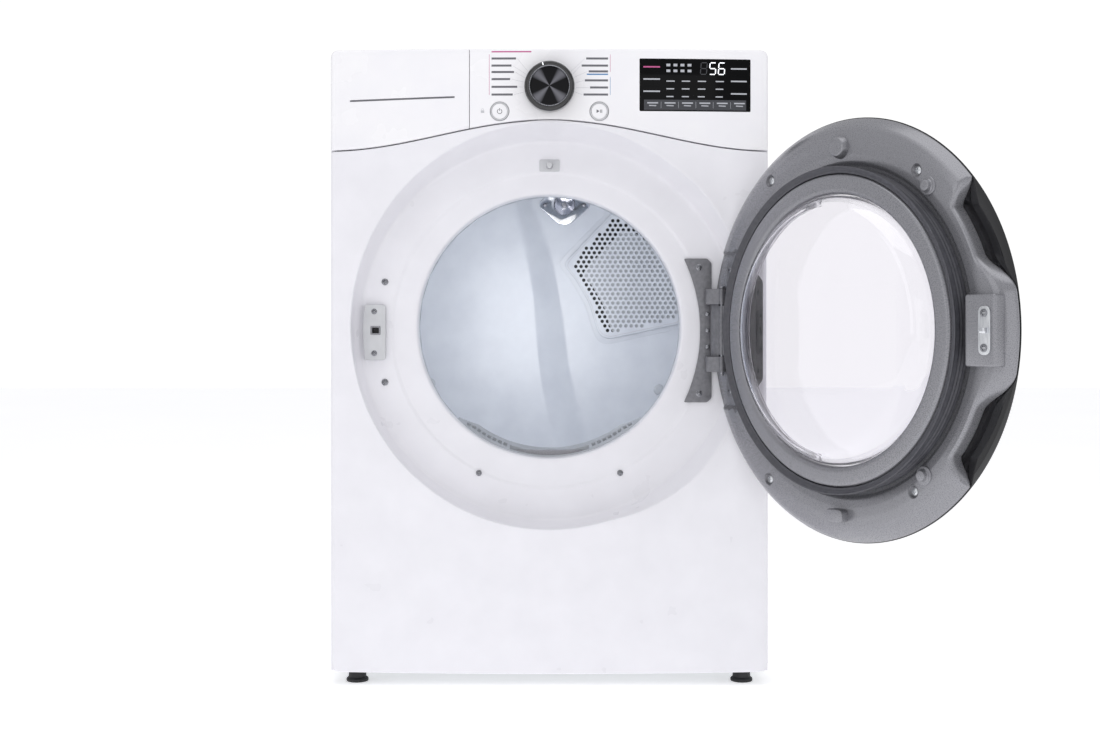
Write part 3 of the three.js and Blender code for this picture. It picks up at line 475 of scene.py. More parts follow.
def soft(outline, radius, steps=4, closed=True):
    """Rounds an outline's corners: a quadratic curve from radius before each corner to radius after."""
    p = np.asarray(outline, float)
    before, after = np.roll(p, 1, 0) - p, np.roll(p, -1, 0) - p
    reach = np.broadcast_to(np.asarray(radius, float), len(p))[:, None]
    long_before = np.linalg.norm(before, axis=1, keepdims=True)
    long_after = np.linalg.norm(after, axis=1, keepdims=True)
    a = p + before / long_before * np.minimum(reach, 0.48 * long_before)
    b = p + after / long_after * np.minimum(reach, 0.48 * long_after)
    t = np.linspace(0, 1, steps + 1)[None, :, None]
    curve = (1 - t) ** 2 * a[:, None] + 2 * t * (1 - t) * p[:, None] + t ** 2 * b[:, None]
    if closed:
        return curve.reshape(-1, 2)
    return np.concatenate([p[:1], curve[1:-1].reshape(-1, 2), p[-1:]])


def arc(cx, cy, radius, start, end, steps):
    """Points of an arc, angles in degrees."""
    t = np.radians(np.linspace(start, end, steps + 1))
    return np.stack([cx + radius * np.cos(t), cy + radius * np.sin(t)], 1)


def lathe(profile, x=0.0, z=0.0, steps=192, warp=None):
    """A profile of (radius, depth) turned about a depth axis through x, z. The profile closes on
    itself, or starts and ends on the axis. A warp changes radius and depth by direction."""
    profile = np.asarray(profile, float)
    closed = profile[0, 0] > 0 or profile[-1, 0] > 0
    turn = np.linspace(0, 2 * np.pi, steps, endpoint=False)
    radius = np.repeat(profile[:, :1], steps, 1)
    depth = np.repeat(profile[:, 1:], steps, 1)
    if warp is not None:
        radius, depth = warp(radius, depth, turn[None, :])
    points = np.stack([x + radius * np.cos(turn), depth, z + radius * np.sin(turn)], -1)
    return points.reshape(-1, 3), grid_faces(len(profile), steps, closed, True)


def slab(outline, y0, y1, edge=0.6, steps=3):
    """An outline of (x, z) points carried from depth y0 to y1, its two rims rounded by a quarter circle:
    each layer is the outline moved inwards along its own normals."""
    p = np.asarray(outline, float)
    along = np.roll(p, -1, 0) - np.roll(p, 1, 0)
    inward = np.stack([-along[:, 1], along[:, 0]], 1)
    inward /= np.maximum(np.linalg.norm(inward, axis=1, keepdims=True), 1e-9)
    area = np.sum(p[:, 0] * np.roll(p[:, 1], -1) - np.roll(p[:, 0], -1) * p[:, 1])
    inward *= np.sign(area)
    t = np.linspace(0, np.pi / 2, steps + 1)
    inset = edge * np.concatenate([1 - np.sin(t), 1 - np.cos(t)])
    depth = np.concatenate([y0 + edge * (1 - np.cos(t)), y1 - edge * (1 - np.sin(t))])
    flat = p[None] + inward[None] * inset[:, None, None]
    layers = np.stack([flat[..., 0], np.broadcast_to(depth[:, None], flat.shape[:2]), flat[..., 1]], -1)
    count = len(p)
    faces = grid_faces(len(depth), count, wrap_columns=True)
    faces += [list(range(count))[::-1], list(range((len(depth) - 1) * count, len(depth) * count))]
    return layers.reshape(-1, 3), faces


def box(x0, x1, y0, y1, z0, z1, edge=0.5):
    """A block with rounded edges."""
    return slab(soft([[x0, z0], [x1, z0], [x1, z1], [x0, z1]], 2 * edge, 3), y0, y1, edge)


def turned(profile, radius, x=0.0, z=0.0, steps=192):
    """A solid turned from a profile that starts and ends on its axis, the corners between rounded."""
    return lathe(soft(profile, radius, closed=False), x, z, steps)


def moved(part, place):
    """A part, which is (points, faces), with its points moved by a placer."""
    points, faces = part
    return place(points), faces


def about_drum(part, turn):
    """A part made about the origin, turned by an angle and set on the drum's axis."""
    points, faces = part
    x = points[:, 0] * math.cos(turn) - points[:, 2] * math.sin(turn)
    z = points[:, 0] * math.sin(turn) + points[:, 2] * math.cos(turn)
    return np.stack([x, points[:, 1], z + DRUM_Z], 1), faces


def upright(x, y, z=0.0):
    """Stands a turned piece up: its depth becomes height, about the line through x, y."""
    return lambda p: np.stack([x + p[:, 0], y + p[:, 2], z + p[:, 1]], 1)


def swung(p):
    """From the closed door's own centre to where it stands open, turned about the pin."""
    q = p - PIN_FROM_CENTRE
    c, s = math.cos(DOOR_OPEN), math.sin(DOOR_OPEN)
    return np.stack([q[:, 0] * c - q[:, 1] * s, q[:, 0] * s + q[:, 1] * c, q[:, 2]], 1) + PIN


def cut(target, *cutters):
    """Takes closed cutters out of a piece, applies the result and removes the cutters."""
    for tool in cutters:
        made = target.modifiers.new("cut", "BOOLEAN")
        made.operation = "DIFFERENCE"
        made.solver = "EXACT"
        made.object = tool
    bpy.context.view_layer.update()
    result = bpy.data.meshes.new_from_object(target.evaluated_get(bpy.context.evaluated_depsgraph_get()))
    target.modifiers.clear()
    target.data = result
    result.shade_smooth()
    result.set_sharp_from_angle(angle=math.radians(32))
    while len(result.materials) > 1:
        result.materials.pop()
    for tool in cutters:
        bpy.data.objects.remove(tool)


def cutter(part, place=None):
    """A closed shape that is only used to cut."""
    return piece("cutter", *part, None, TEXTURED_BLACK, place)


def bow(x):
    """Depth of the bowed front: a shallow parabola across the width, rolled back at its upright edges
    by a quarter circle."""
    x = np.abs(np.asarray(x, float))
    flat = HALF_W - EDGE_R
    middle = FRONT_Y - BULGE * (1 - (x / HALF_W) ** 2)
    over = np.clip(x - flat, 0, EDGE_R)
    corner = FRONT_Y - BULGE * (1 - (flat / HALF_W) ** 2) + EDGE_R
    return np.where(x > flat, corner - np.sqrt(EDGE_R ** 2 - over ** 2), middle)


def seam(x):
    """Height of the seam under the control strip: a squared cosine over the width."""
    return DISH_Z + SEAM_LOW + SEAM_RISE * np.cos(np.pi * np.asarray(x, float) / (2 * HALF_W)) ** 2


def screw_heads(name, spots, radius, body, material=None, place=None, facing=-1, dome=0.28):
    """Domed screw heads at (x, depth, z): the height falls as the square of the radius, and a cross is
    sunk in the middle, wherever the nearer of the two side distances is small."""
    rings, steps = 14, 48
    r = np.linspace(0, radius, rings)[:, None]
    turn = np.linspace(0, 2 * np.pi, steps, endpoint=False)[None, :]
    x, z = r * np.cos(turn), r * np.sin(turn)
    height = radius * (0.16 + dome * (1 - (r / radius) ** 2)) + 0 * turn
    in_cross = (np.minimum(np.abs(x), np.abs(z)) < radius / 6.5) & (r < 0.62 * radius)
    height = np.where(in_cross, height - 0.3 * radius, height)
    top = np.stack([x, facing * height, z], -1)
    rim = np.stack([x[-1], 0 * x[-1], z[-1]], -1)[None]
    middle = np.zeros((1, steps, 3))
    head = np.concatenate([top, rim, middle])
    faces = grid_faces(rings + 2, steps, wrap_columns=True)
    parts = [(head.reshape(-1, 3) + np.array(spot), faces) for spot in spots]
    points, faces = combined(parts)
    return piece(name, points, faces, body, material or BRIGHT_STEEL, place, crease=25)


def ink(name, strokes, material, lift=0.1, body="cabinet", surface=bow):
    """Flat strokes on the bowed front, of print and of painted shade: each path of (x, z) points gets a
    width, its two sides moved out along the path's normal, and lies just proud of the surface."""
    parts = []
    for path, width in strokes:
        path = np.asarray(path, float)
        if len(path) == 2:
            path = path[0] + np.linspace(0, 1, 7)[:, None] * (path[1] - path[0])
        along = np.gradient(path, axis=0)
        side = np.stack([-along[:, 1], along[:, 0]], 1)
        side *= width / 2 / np.maximum(np.linalg.norm(side, axis=1, keepdims=True), 1e-9)
        rim = np.stack([path + side, path - side], 1)
        near = np.stack([rim[..., 0], surface(rim[..., 0]) - lift, rim[..., 1]], -1)
        far = near + np.array([0, lift - 0.02, 0])
        around = np.stack([near[:, 0], near[:, 1], far[:, 1], far[:, 0]], 1)
        count = len(path)
        faces = grid_faces(count, 4, wrap_columns=True)
        faces += [[3, 2, 1, 0], [4 * count - 4, 4 * count - 3, 4 * count - 2, 4 * count - 1]]
        parts.append((around.reshape(-1, 3), faces))
    points, faces = combined(parts)
    return piece(name, points, faces, body, material)


# Front panel ------------------------------------------------------------------------------------

# Recess from the opening's lip outwards: radius, depth behind the front plane, and how much of the
# shift from the recess axis to the drum axis applies there.
RECESS = np.array([
    [209, 68, 1], [209, 50, 1], [209, 46, 1], [209.3, 44, 1], [210.2, 42, 1], [211.6, 40.8, 1],
    [213.5, 40.2, 1], [222, 40, 0.75], [235, 39.8, 0.3], [244, 39.5, 0.05], [247.4, 39.2, 0],
    [249, 38.6, 0], [250.4, 37.8, 0], [251.6, 37.2, 0], [253.6, 36.95, 0], [262, 36.8, 0], [278, 36.5, 0],
    [293, 36.2, 0], [297, 35.6, 0], [299.6, 34.4, 0], [301.4, 32.4, 0], [302.6, 29.5, 0], [306, 20, 0],
    [DISH_R, 12, 0],
])


def panel_reach(turn):
    """Distance from the recess axis to the panel's outline by direction. The outline runs up the right
    side, back along the seam, down the left side and round the two bottom corners."""
    steps = 300
    s = np.linspace(0, 1, steps)
    x = HALF_W * (1 - 2 * s)
    z_side = CORNER_R + s * (seam(HALF_W) - CORNER_R)
    edge = np.concatenate([
        np.stack([np.full(steps, HALF_W), z_side], 1),
        np.stack([x, seam(x)], 1),
        np.stack([np.full(steps, -HALF_W), z_side[::-1]], 1),
        arc(CORNER_R - HALF_W, CORNER_R, CORNER_R, 180, 270, 24),
        np.stack([-x * (HALF_W - CORNER_R) / HALF_W, 0 * x], 1),
        arc(HALF_W - CORNER_R, CORNER_R, CORNER_R, 270, 360, 24),
    ])
    angle = np.arctan2(edge[:, 1] - DISH_Z, edge[:, 0])
    return np.interp(turn, angle, np.hypot(edge[:, 0], edge[:, 1] - DISH_Z), period=2 * np.pi)


def front_panel():
    """Rings about the recess axis, from the opening's lip over the recess floor and wall, round its edge,
    across the bowed face and back at the outline. The recess edge lies where its flared wall meets the
    bow, found by repeating: radius from depth, depth from the bow at that radius. The flare is widest at
    the top and on the hinge side, and falls away with the sine of the direction."""
    corners = np.arctan2(SEAM_LOW, [HALF_W, -HALF_W])
    turn = np.sort(np.append(np.linspace(-np.pi, np.pi, 400, endpoint=False), corners))[None, :]
    cos, sin = np.cos(turn), np.sin(turn)
    flare = np.maximum(np.clip(0.15 + 0.8 * sin, 0, 0.95), np.clip((cos - 0.3) / 0.4, 0, 1))

    def wall(depth):
        return DISH_R + flare * np.interp(depth, [-20, -5, 1, 7, 12], [17, 11, 6, 2, 0])

    meet = np.full_like(turn, 318.0)
    for _ in range(30):
        meet = wall(bow(meet * cos) - FRONT_Y)
    meet_depth = bow(meet * cos) - FRONT_Y
    bevel = 3.2
    radius = [row + 0 * turn for row in RECESS[:, 0]]
    depth = [row + 0 * turn for row in RECESS[:, 1]]
    shift = [row + 0 * turn for row in RECESS[:, 2]]
    start = np.stack([wall(meet_depth + bevel), meet_depth + bevel])
    end = np.stack([meet + bevel, bow((meet + bevel) * cos) - FRONT_Y])
    knee = np.stack([meet, meet_depth])
    for t in np.linspace(0, 1, 7):
        r, d = (1 - t) ** 2 * start + 2 * t * (1 - t) * knee + t * t * end
        radius.append(r)
        depth.append(d)
    reach = panel_reach(turn)
    fold = 2.5
    inner = meet + bevel
    for s in np.linspace(0, 1, 44)[1:]:
        r = inner + (reach - fold - inner) * (1 - (1 - s) ** 2)
        radius.append(r)
        depth.append(bow(r * cos) - FRONT_Y)
    last = bow(reach * cos) - FRONT_Y
    for t in np.linspace(0, np.pi / 2, 5)[1:]:
        radius.append(reach - fold * (1 - np.sin(t)))
        depth.append(np.minimum(last + fold * (1 - np.cos(t)), RETURN_Y - FRONT_Y - 0.5))
    radius.append(reach)
    depth.append(np.full_like(reach, RETURN_Y - FRONT_Y))
    radius, depth = np.concatenate(radius), np.concatenate(depth)
    shift = np.concatenate(shift + [0 * turn] * (len(radius) - len(shift)))
    points = np.stack([
        radius * cos, FRONT_Y + depth, DISH_Z + radius * sin + (DRUM_Z - DISH_Z) * shift,
    ], -1)
    piece("cabinet_front", *shell(points, 1.2, around=True), "cabinet", WHITE_COAT,
          crease=40, stands_for=["front_panel"], slot="white_steel")


def recess_fittings():
    """Four screws on the recess floor, and the door switch in its little housing."""
    floor = FRONT_Y + DISH_FLOOR + 0.4
    screw_heads("recess_screws", [[-261, floor, DISH_Z + 77], [-261, floor, DISH_Z - 82]], 5.4, "cabinet")
    screw_heads("recess_plugs", [[x, floor, DISH_Z - 226] for x in (-112, 112)], 4.8, "cabinet")
    housing = piece("door_switch_housing", *slab(
        soft([[-16, 252], [16, 252], [16, 271], [-16, 271]], 2.4) + [0, DISH_Z],
        floor - 1.8, floor + 1.5, 0.7), "cabinet", LIGHT_PLASTIC, slot="light_plastic")
    cut(housing, cutter(lathe([[0, -330], [5.4, -330], [5.4, -300], [0, -300]], 0, SWITCH_Z, 48)))
    y = FRONT_Y + DISH_FLOOR + 2
    plunger = [[0, y - 20], [4.5, y - 20], [4.5, y + 8], [8, y + 8], [8, y + 11], [0, y + 11]]
    piece("door_switch_button", *turned(plunger, 1.2, 0, SWITCH_Z, 48), "door_switch", LIGHT_PLASTIC,
          stands_for=["door_switch_plunger"], slot="light_plastic")


# Control strip ----------------------------------------------------------------------------------

def strip_sheet(columns, groove=None):
    """A stretch of the control strip. Columns are (x, set back); rows climb from the seam to the rounded
    top edge and then run back over the top. A groove sets rows back along its line."""
    x, back = columns[:, 0][None, :], columns[:, 1][None, :]
    bottom = seam(x) + SEAM_GAP
    over = np.clip(np.abs(x) - (HALF_W - CORNER_R), 0, CORNER_R)
    top = HEIGHT - CORNER_R + np.sqrt(CORNER_R ** 2 - over ** 2)
    rows = [(bottom, 20.0), (bottom, 1.4), (bottom + 0.4, 0.4), (bottom + 1.4, 0.0)]
    if groove is None:
        rows += [(bottom + 1.4 + (top - 4.4 - bottom) * s, 0.0) for s in np.linspace(0, 1, 26)[1:-1]]
    else:
        line, depth = groove(x)
        rows += [(bottom + 1.4 + (line - 3 - bottom) * s, 0.0) for s in np.linspace(0, 1, 12)[1:-1]]
        rows += [(line - 1.5, 0.0), (line - 1.2, 0.25 * depth), (line - 1.1, depth), (line + 1.1, depth),
                 (line + 1.2, 0.3 * depth), (line + 1.6, 0.0)]
        rows += [(line + 1.6 + (top - 4.6 - line) * s, 0.0) for s in np.linspace(0, 1, 12)[1:-1]]
    rows += [(top - 3, 0.0), (top - 1.5, 0.4), (top - 0.4, 1.5), (top, 3.0)]
    face = [np.stack([x + 0 * z, bow(x) + np.maximum(set_back, back), z], -1) for z, set_back in rows]
    for y in (-335.0, -310.0, TOP_BACK_Y + 0.0):
        face.append(np.stack([x, np.maximum(y, bow(x) + 3) + 0 * x, top], -1))
    return np.concatenate(face)


def across(start, end):
    """Columns from one side to the other, none set back, closer together towards the outer edge."""
    s = np.linspace(0, 1, 40)
    x = start + (end - start) * (1 - (1 - s) ** 1.8)
    return np.stack([x, 0 * x], 1)


def control_strip():
    """Fascia and drawer front, with a light seam between them."""
    main = np.concatenate([
        [[DRAWER_EDGE_X, 6], [DRAWER_EDGE_X, 0.8]], across(DRAWER_EDGE_X + 0.7, HALF_W), [[HALF_W, 3.5]],
    ])
    fascia = piece("fascia_moulding", *shell(strip_sheet(main), 2.6), "cabinet", WHITE_PLASTIC,
                   crease=40, stands_for=["control_fascia"], slot="white_plastic")
    holes = [lathe([[0, -380], [r, -380], [r, -340], [0, -340]], x, z, 64) for x, z, r in (
        (-BUTTON_X, BUTTON_Z, BUTTON_R + 0.7), (BUTTON_X, BUTTON_Z, BUTTON_R + 0.7), (0, DIAL_Z, 4.8),
    )]
    window = slab(soft([[140, 875], [314, 875], [314, 957], [140, 957]], 2.0), -380, -335, 0.1)
    cut(fascia, cutter(combined(holes)), cutter(window))
    side_edge = DRAWER_EDGE_X - 0.8
    side = np.concatenate([
        [[side_edge, 6], [side_edge, 0.8]], across(DRAWER_EDGE_X - 1.5, -HALF_W), [[-HALF_W, 3.5]],
    ])

    def grip(x):
        """A line rising 5 mm to the right, sunk 2 mm between its two ends."""
        along = (x + 312) / 165
        inside = np.clip(np.minimum(along, 1 - along) * 60, 0, 1)
        return 892 + 5 * np.clip(along, -0.2, 1.2), 2.2 * inside

    grip_ends = [-313.5, -312, -311, -310, -149, -148, -147, -145.5]
    fine = np.sort(np.concatenate([side[2:-1, 0], grip_ends]))[::-1]
    side = np.concatenate([side[:2], np.stack([fine, 0 * fine], 1), side[-1:]])
    piece("drawer_facing", *shell(strip_sheet(side, grip), 1.0), "drawer", WHITE_PLASTIC,
          crease=40, stands_for=["drawer_front"], slot="white_plastic")
    line, _ = grip(np.array([-312.0, -147.0]))
    ink("drawer_grip_shadow", [([[-311.4, line[0]], [-147.6, line[1]]], 2.0)], INK_GREY, -1.7, "drawer")


def push_buttons():
    """A grey ring with a white cap in it, and the sign for its job printed on the cap."""
    y = float(bow(BUTTON_X))
    for name, x in (("power", -BUTTON_X), ("start", BUTTON_X)):
        button = name + "_button"
        cap = [[0, y - 1.4], [11.6, y - 1.2], [12.1, y - 0.3], [12.1, y + 5], [0, y + 5]]
        piece(name + "_cap", *turned(cap, 0.8, x, BUTTON_Z, 96), button, WHITE_PLASTIC,
              stands_for=[button], slot="light_plastic")
        ring = soft([[12.2, y - 0.2], [12.6, y - 1.3], [14.1, y - 1.2], [BUTTON_R, y - 0.4],
                     [BUTTON_R, y + 5], [12.2, y + 5]], 0.4)
        piece(name + "_ring", *lathe(ring, x, BUTTON_Z, 96), button, LIGHT_PLASTIC, slot="light_plastic")

    def cap_face(x):
        return np.full_like(np.asarray(x, float), y - 1.4)

    ink("power_sign", [
        (arc(-BUTTON_X, BUTTON_Z - 0.3, 3.6, 118, 422, 30), 0.9),
        ([[-BUTTON_X, BUTTON_Z + 0.6], [-BUTTON_X, BUTTON_Z + 4.8]], 0.9),
    ], INK_GREY, 0.08, "power_button", cap_face)
    triangle = [([[BUTTON_X - 4 + i * 0.5, BUTTON_Z - 2.6 + i * 0.29],
                  [BUTTON_X - 4 + i * 0.5, BUTTON_Z + 2.6 - i * 0.29]], 0.5) for i in range(9)]
    bars = [([[BUTTON_X + dx, BUTTON_Z - 2.5], [BUTTON_X + dx, BUTTON_Z + 2.5]], 1.0) for dx in (1.9, 3.9)]
    ink("start_sign", triangle + bars, INK_GREY, 0.08, "start_button", cap_face)


def program_dial():
    """Knob turned from a profile: gloss skirt, bright thin ring and spun disc, with a pointer."""
    y = float(bow(0)) - 1
    skirt = soft([
        [30.6, y - 20.6], [31.8, y - 21.3], [35.5, y - 21.4], [37.6, y - 20.4], [38.8, y - 18], [39, y - 14],
        [39, y], [4, y], [4, y + 20], [3, y + 20], [3, y - 18], [30.6, y - 18],
    ], 1.0)
    piece("dial_skirt", *lathe(skirt, 0, DIAL_Z), "program_dial", PIANO_BLACK,
          stands_for=["program_dial"], slot="black_gloss")
    ring = soft([[30.2, y - 18], [30.2, y - 21.6], [31.5, y - 21.9], [32.0, y - 20.4], [31.8, y - 18]], 0.3)
    piece("dial_ring", *lathe(ring, 0, DIAL_Z), "program_dial", BRIGHT_STEEL)
    disc = [[0, y - 21.1], [28.8, y - 21.1], [30.1, y - 20.2], [30.1, y - 18], [0, y - 18]]
    piece("dial_disc", *turned(disc, 0.7, 0, DIAL_Z), "program_dial", SPUN_BLACK)
    direction = math.radians(107)
    pointer = np.array([[33.0, 33.0], [37.2, 37.2]]) * [math.cos(direction), math.sin(direction)]

    def skirt_face(x):
        return np.full_like(np.asarray(x, float), y - 21.35)

    ink("dial_pointer", [(pointer + [0, DIAL_Z], 1.5)], LIT_WHITE, 0.15, "program_dial", skirt_face)


def fascia_print():
    """Short printed bars beside the dial, each with a thin line that leads to it, under a heading."""
    left_rows = [(422.5, 38), (411.5, 31), (401.5, 35), (390.5, 29), (378.5, 40), (366.5, 33)]
    right_rows = [(422.5, 34), (411.5, 41), (402.5, 30), (388.5, 36), (377.5, 28), (366.5, 38)]
    bars, leaders = [], []
    for side, edge, rows in ((-1, -90, left_rows), (1, 91, right_rows)):
        for dz, length in rows:
            z = DISH_Z + dz
            inner = edge - side * length
            bars.append((sorted([[edge, z], [inner, z]]), 3.2))
            end = np.array([side, (z - DIAL_Z) / 60])
            end = end / np.linalg.norm(end) * 41.5
            leaders.append((sorted([[inner - side * 2, z - 0.2], [end[0], DIAL_Z + end[1]]]), 0.35))
    ink("program_names", bars, INK_GREY)
    ink("program_leaders", leaders, PALE_INK_AND_SHADE)
    ink("program_heading", [
        ([[-90, DISH_Z + 433], [-28, DISH_Z + 433]], 2.0),
        ([[-93.5, DISH_Z + 429], [-93.5, DISH_Z + 366]], 0.6),
        ([[94.5, DISH_Z + 429], [94.5, DISH_Z + 402]], 0.6),
    ], INK_MAGENTA)
    ink("program_heading_cool", [
        ([[58, DISH_Z + 398], [91, DISH_Z + 398]], 2.0),
        ([[94.5, DISH_Z + 394], [94.5, DISH_Z + 366]], 0.6),
    ], INK_BLUE)
    ink("lock_sign", [
        (arc(-104, DISH_Z + 342.5, 2.0, 0, 180, 10), 0.6),
        ([[-106.6, DISH_Z + 340], [-101.4, DISH_Z + 340]], 4.0),
    ], PALE_INK_AND_SHADE)


DIGIT_BARS = {
    "a": ((0, 2), (1, 2)), "b": ((1, 1), (1, 2)), "c": ((1, 0), (1, 1)), "d": ((0, 0), (1, 0)),
    "e": ((0, 0), (0, 1)), "f": ((0, 1), (0, 2)), "g": ((0, 1), (1, 1)),
}
DIGITS = {"5": "afgcd", "6": "afgcde", "8": "abcdefg"}


def digit(sign, x, z, wide, high):
    """Seven-bar numeral, leaning a little, as strokes."""
    strokes = []
    for bar in DIGITS[sign]:
        (ax, az), (bx, bz) = DIGIT_BARS[bar]
        a = np.array([ax * wide, az * high / 2])
        b = np.array([bx * wide, bz * high / 2])
        gap = (b - a) / np.linalg.norm(b - a) * 0.9
        path = np.array([a + gap, b - gap])
        path[:, 0] += path[:, 1] * 0.08
        strokes.append((path + [x, z], 1.5))
    return strokes


def display():
    """Touch glass set in the fascia, with lit numerals, short lit marks and six keys along the bottom."""
    x = np.linspace(140.4, 313.6, 28)[None, :]
    rows = [(875.4, 2.4), (875.4, 0.6), (875.9, 0.1), (876.4, 0.0), (915.0, 0.0), (955.6, 0.0), (956.1, 0.1),
            (956.6, 0.6), (956.6, 2.4)]
    sheet = np.concatenate([np.stack([x, bow(x) - 0.25 + back, z + 0 * x], -1) for z, back in rows])
    piece("display_pane", *shell(sheet, 2.0), "cabinet", DISPLAY_GLASS, crease=50,
          stands_for=["display_window"], slot="display_black")
    z = DISH_Z + 399
    lit = digit("5", 249, z, 9.5, 18) + digit("6", 263, z, 9.5, 18)
    ink("display_numerals", lit, LIT_WHITE, 0.4)
    ink("display_numerals_off", digit("8", 235, z, 9.5, 18), LIT_GHOST, 0.4)
    marks, dim = [], []
    for start, end, heights in ((146, 172, (410, 391, 372)), (283, 308, (408, 388.5, 369))):
        for height in heights:
            marks.append(([[start, DISH_Z + height], [end, DISH_Z + height]], 2.2))
    for start in (182, 206, 231, 259):
        for row in range(3):
            height = DISH_Z + 388 - row * 12
            dim.append(([[start, height], [start + 13 - row, height]], 1.8))
    for start in (182, 193, 204, 215):
        for height in (DISH_Z + 413, DISH_Z + 404):
            dim.append(([[start, height], [start + 6, height]], 4.0))
    key_pitch = 27.2
    for key in range(6):
        start = 152 + key * key_pitch
        dim.append(([[start, DISH_Z + 354], [start + 17, DISH_Z + 354]], 2.0))
        dim.append(([[start + 3, DISH_Z + 350], [start + 14, DISH_Z + 349.6]], 1.5))
    ink("display_marks", marks[1:], LIT_DIM, 0.4)
    ink("display_mark_warm", marks[:1], INK_MAGENTA, 0.4)
    ink("display_marks_dim", dim, LIT_DIM, 0.4)
    keys = [([[147, DISH_Z + 351], [307, DISH_Z + 351]], 16.0)]
    ink("display_key_strip", keys, LIT_GHOST, 0.33)
    ticks = [([[x, DISH_Z + 346], [x, DISH_Z + 356]], 0.4) for x in 173.6 + key_pitch * np.arange(5)]
    ink("display_key_lines", ticks, LIT_DIM, 0.4)


def corner_fillers():
    """White strips that close the slot between the side panels and the strip's top edge."""
    middle = HALF_W - 0.7
    parts = [box(side * middle - 0.6, side * middle + 0.6, -339, -293, 949, 960.4, 0.3) for side in (-1, 1)]
    piece("corner_fillers", *combined(parts), "cabinet", WHITE_COAT, slot="white_steel")


# Latch and hinge --------------------------------------------------------------------------------

def latch():
    """Catch plate clipped to the recess wall's circle, with a bevelled square hole and two screws."""
    y0 = FRONT_Y + DISH_FLOOR - 9
    y1 = FRONT_Y + DISH_FLOOR - 0.4
    z = np.linspace(-47, 41, 30)
    left = np.stack([-np.sqrt(295.2 ** 2 - z ** 2), z], 1)
    left[:, 0] = np.maximum(left[:, 0], -298)
    right = [[-264, -47], [-260.4, -45.4], [-259, -42], [-259, 36], [-260.4, 39.4], [-264, 41]]
    outline = np.concatenate([left[::-1], right]) + [0, DISH_Z]
    plate = piece("latch_plate", *slab(outline, y0, y1, 1.4, 4), "cabinet", LIGHT_PLASTIC,
                  stands_for=["latch_catch"], slot="grey_frame")
    hole = soft([[-281, -5], [-269, -5], [-269, 5], [-281, 5]], 1.2) + [0, DISH_Z]
    cut(plate, cutter(slab(hole, y0 - 4, y1 + 4, 0.1)))
    rim = soft([[-283, -7], [-267, -7], [-267, 7], [-283, 7]], 1.6) + [0, DISH_Z]
    hole_frame = piece("latch_hole_frame", *slab(rim, y0 - 1.1, y0 + 0.8, 0.8), "cabinet", GREY_PLASTIC,
                       slot="grey_frame")
    inner_rim = soft([[-280.6, -4.6], [-269.4, -4.6], [-269.4, 4.6], [-280.6, 4.6]], 1.2) + [0, DISH_Z]
    cut(hole_frame, cutter(slab(inner_rim, y0 - 4, y1 + 4, 0.1)))
    piece("latch_well", *box(-280.8, -269.2, y1 - 1.6, y1 + 0.3, DISH_Z - 4.8, DISH_Z + 4.8, 0.1), "cabinet",
          TEXTURED_BLACK, slot="black_plastic")
    screw_heads("latch_screws", [[-277, y0 + 0.1, DISH_Z + dz] for dz in (30, -36)], 4.6, "cabinet")


def hinge():
    """Cabinet leaf with a hollowed left edge, two arms to the knuckles, the web between them, and the pin."""
    y0 = FRONT_Y + DISH_FLOOR - 2.5
    pin_y = PIN[1]
    arm_high, arm_off = 12, 53
    outline = soft(np.concatenate([
        arc(-23.9, 0, 262.9, -25.7, 25.7, 20), [[250, 114], [257, 107], [257, -107], [250, -114]],
    ]), 2.5, 2)
    piece("hinge_leaf", *slab(outline + [0, DISH_Z], y0, y0 + 2, 0.5), "cabinet", HINGE_STEEL,
          stands_for=["hinge_cabinet_leaf"], slot="hinge_steel")
    arm = np.array([[246, 10], [264.9, -4.2], [268.5, 2.4], [256.5, 17], [256.5, 35], [246, 35]])
    for name, side in (("upper", 1), ("lower", -1)):
        middle = DISH_Z + side * arm_off
        made = slab(soft(arm + [0, FRONT_Y], 2.0), -arm_high, arm_high, 0.8)
        piece("hinge_arm_" + name, *made, "cabinet", HINGE_STEEL, upright(0, 0, middle), slot="hinge_steel")
        knuckle = soft([[3.2, -arm_high], [5, -arm_high], [5, arm_high], [3.2, arm_high]], 0.5)
        piece("hinge_knuckle_" + name, *lathe(knuckle, steps=48), "cabinet", HINGE_STEEL,
              upright(PIN[0], pin_y, middle), slot="hinge_steel")
    web = np.array([[254.5, 16], [265, 3.5], [266.5, 5], [256.5, 17], [256.5, 35], [254.5, 35]])
    piece("hinge_web", *slab(soft(web + [0, FRONT_Y], 0.5), -42, 42, 0.3), "cabinet", HINGE_STEEL,
          upright(0, 0, DISH_Z), slot="hinge_steel")
    rod = [[0, -70], [3, -70], [3, 65.6], [4.6, 65.6], [4.6, 69], [0, 69]]
    piece("hinge_rod", *turned(rod, 0.7, steps=40), "cabinet", BRIGHT_STEEL, upright(PIN[0], pin_y, DISH_Z),
          stands_for=["hinge_pin"], slot="hinge_steel")
    rivet = [[0, y0 - 1.9], [2.6, y0 - 1.6], [3.8, y0 - 0.6], [3.9, y0 + 0.5], [0, y0 + 0.5]]
    rivets = [turned(rivet, 0.8, 250.5, DISH_Z + dz, 32) for dz in (-26, 0, 26)]
    piece("hinge_rivets", *combined(rivets), "cabinet", BRIGHT_STEEL)
    screw_heads("hinge_screws", [[237, y0, DISH_Z + dz] for dz in (100, -100)], 5.0, "cabinet")


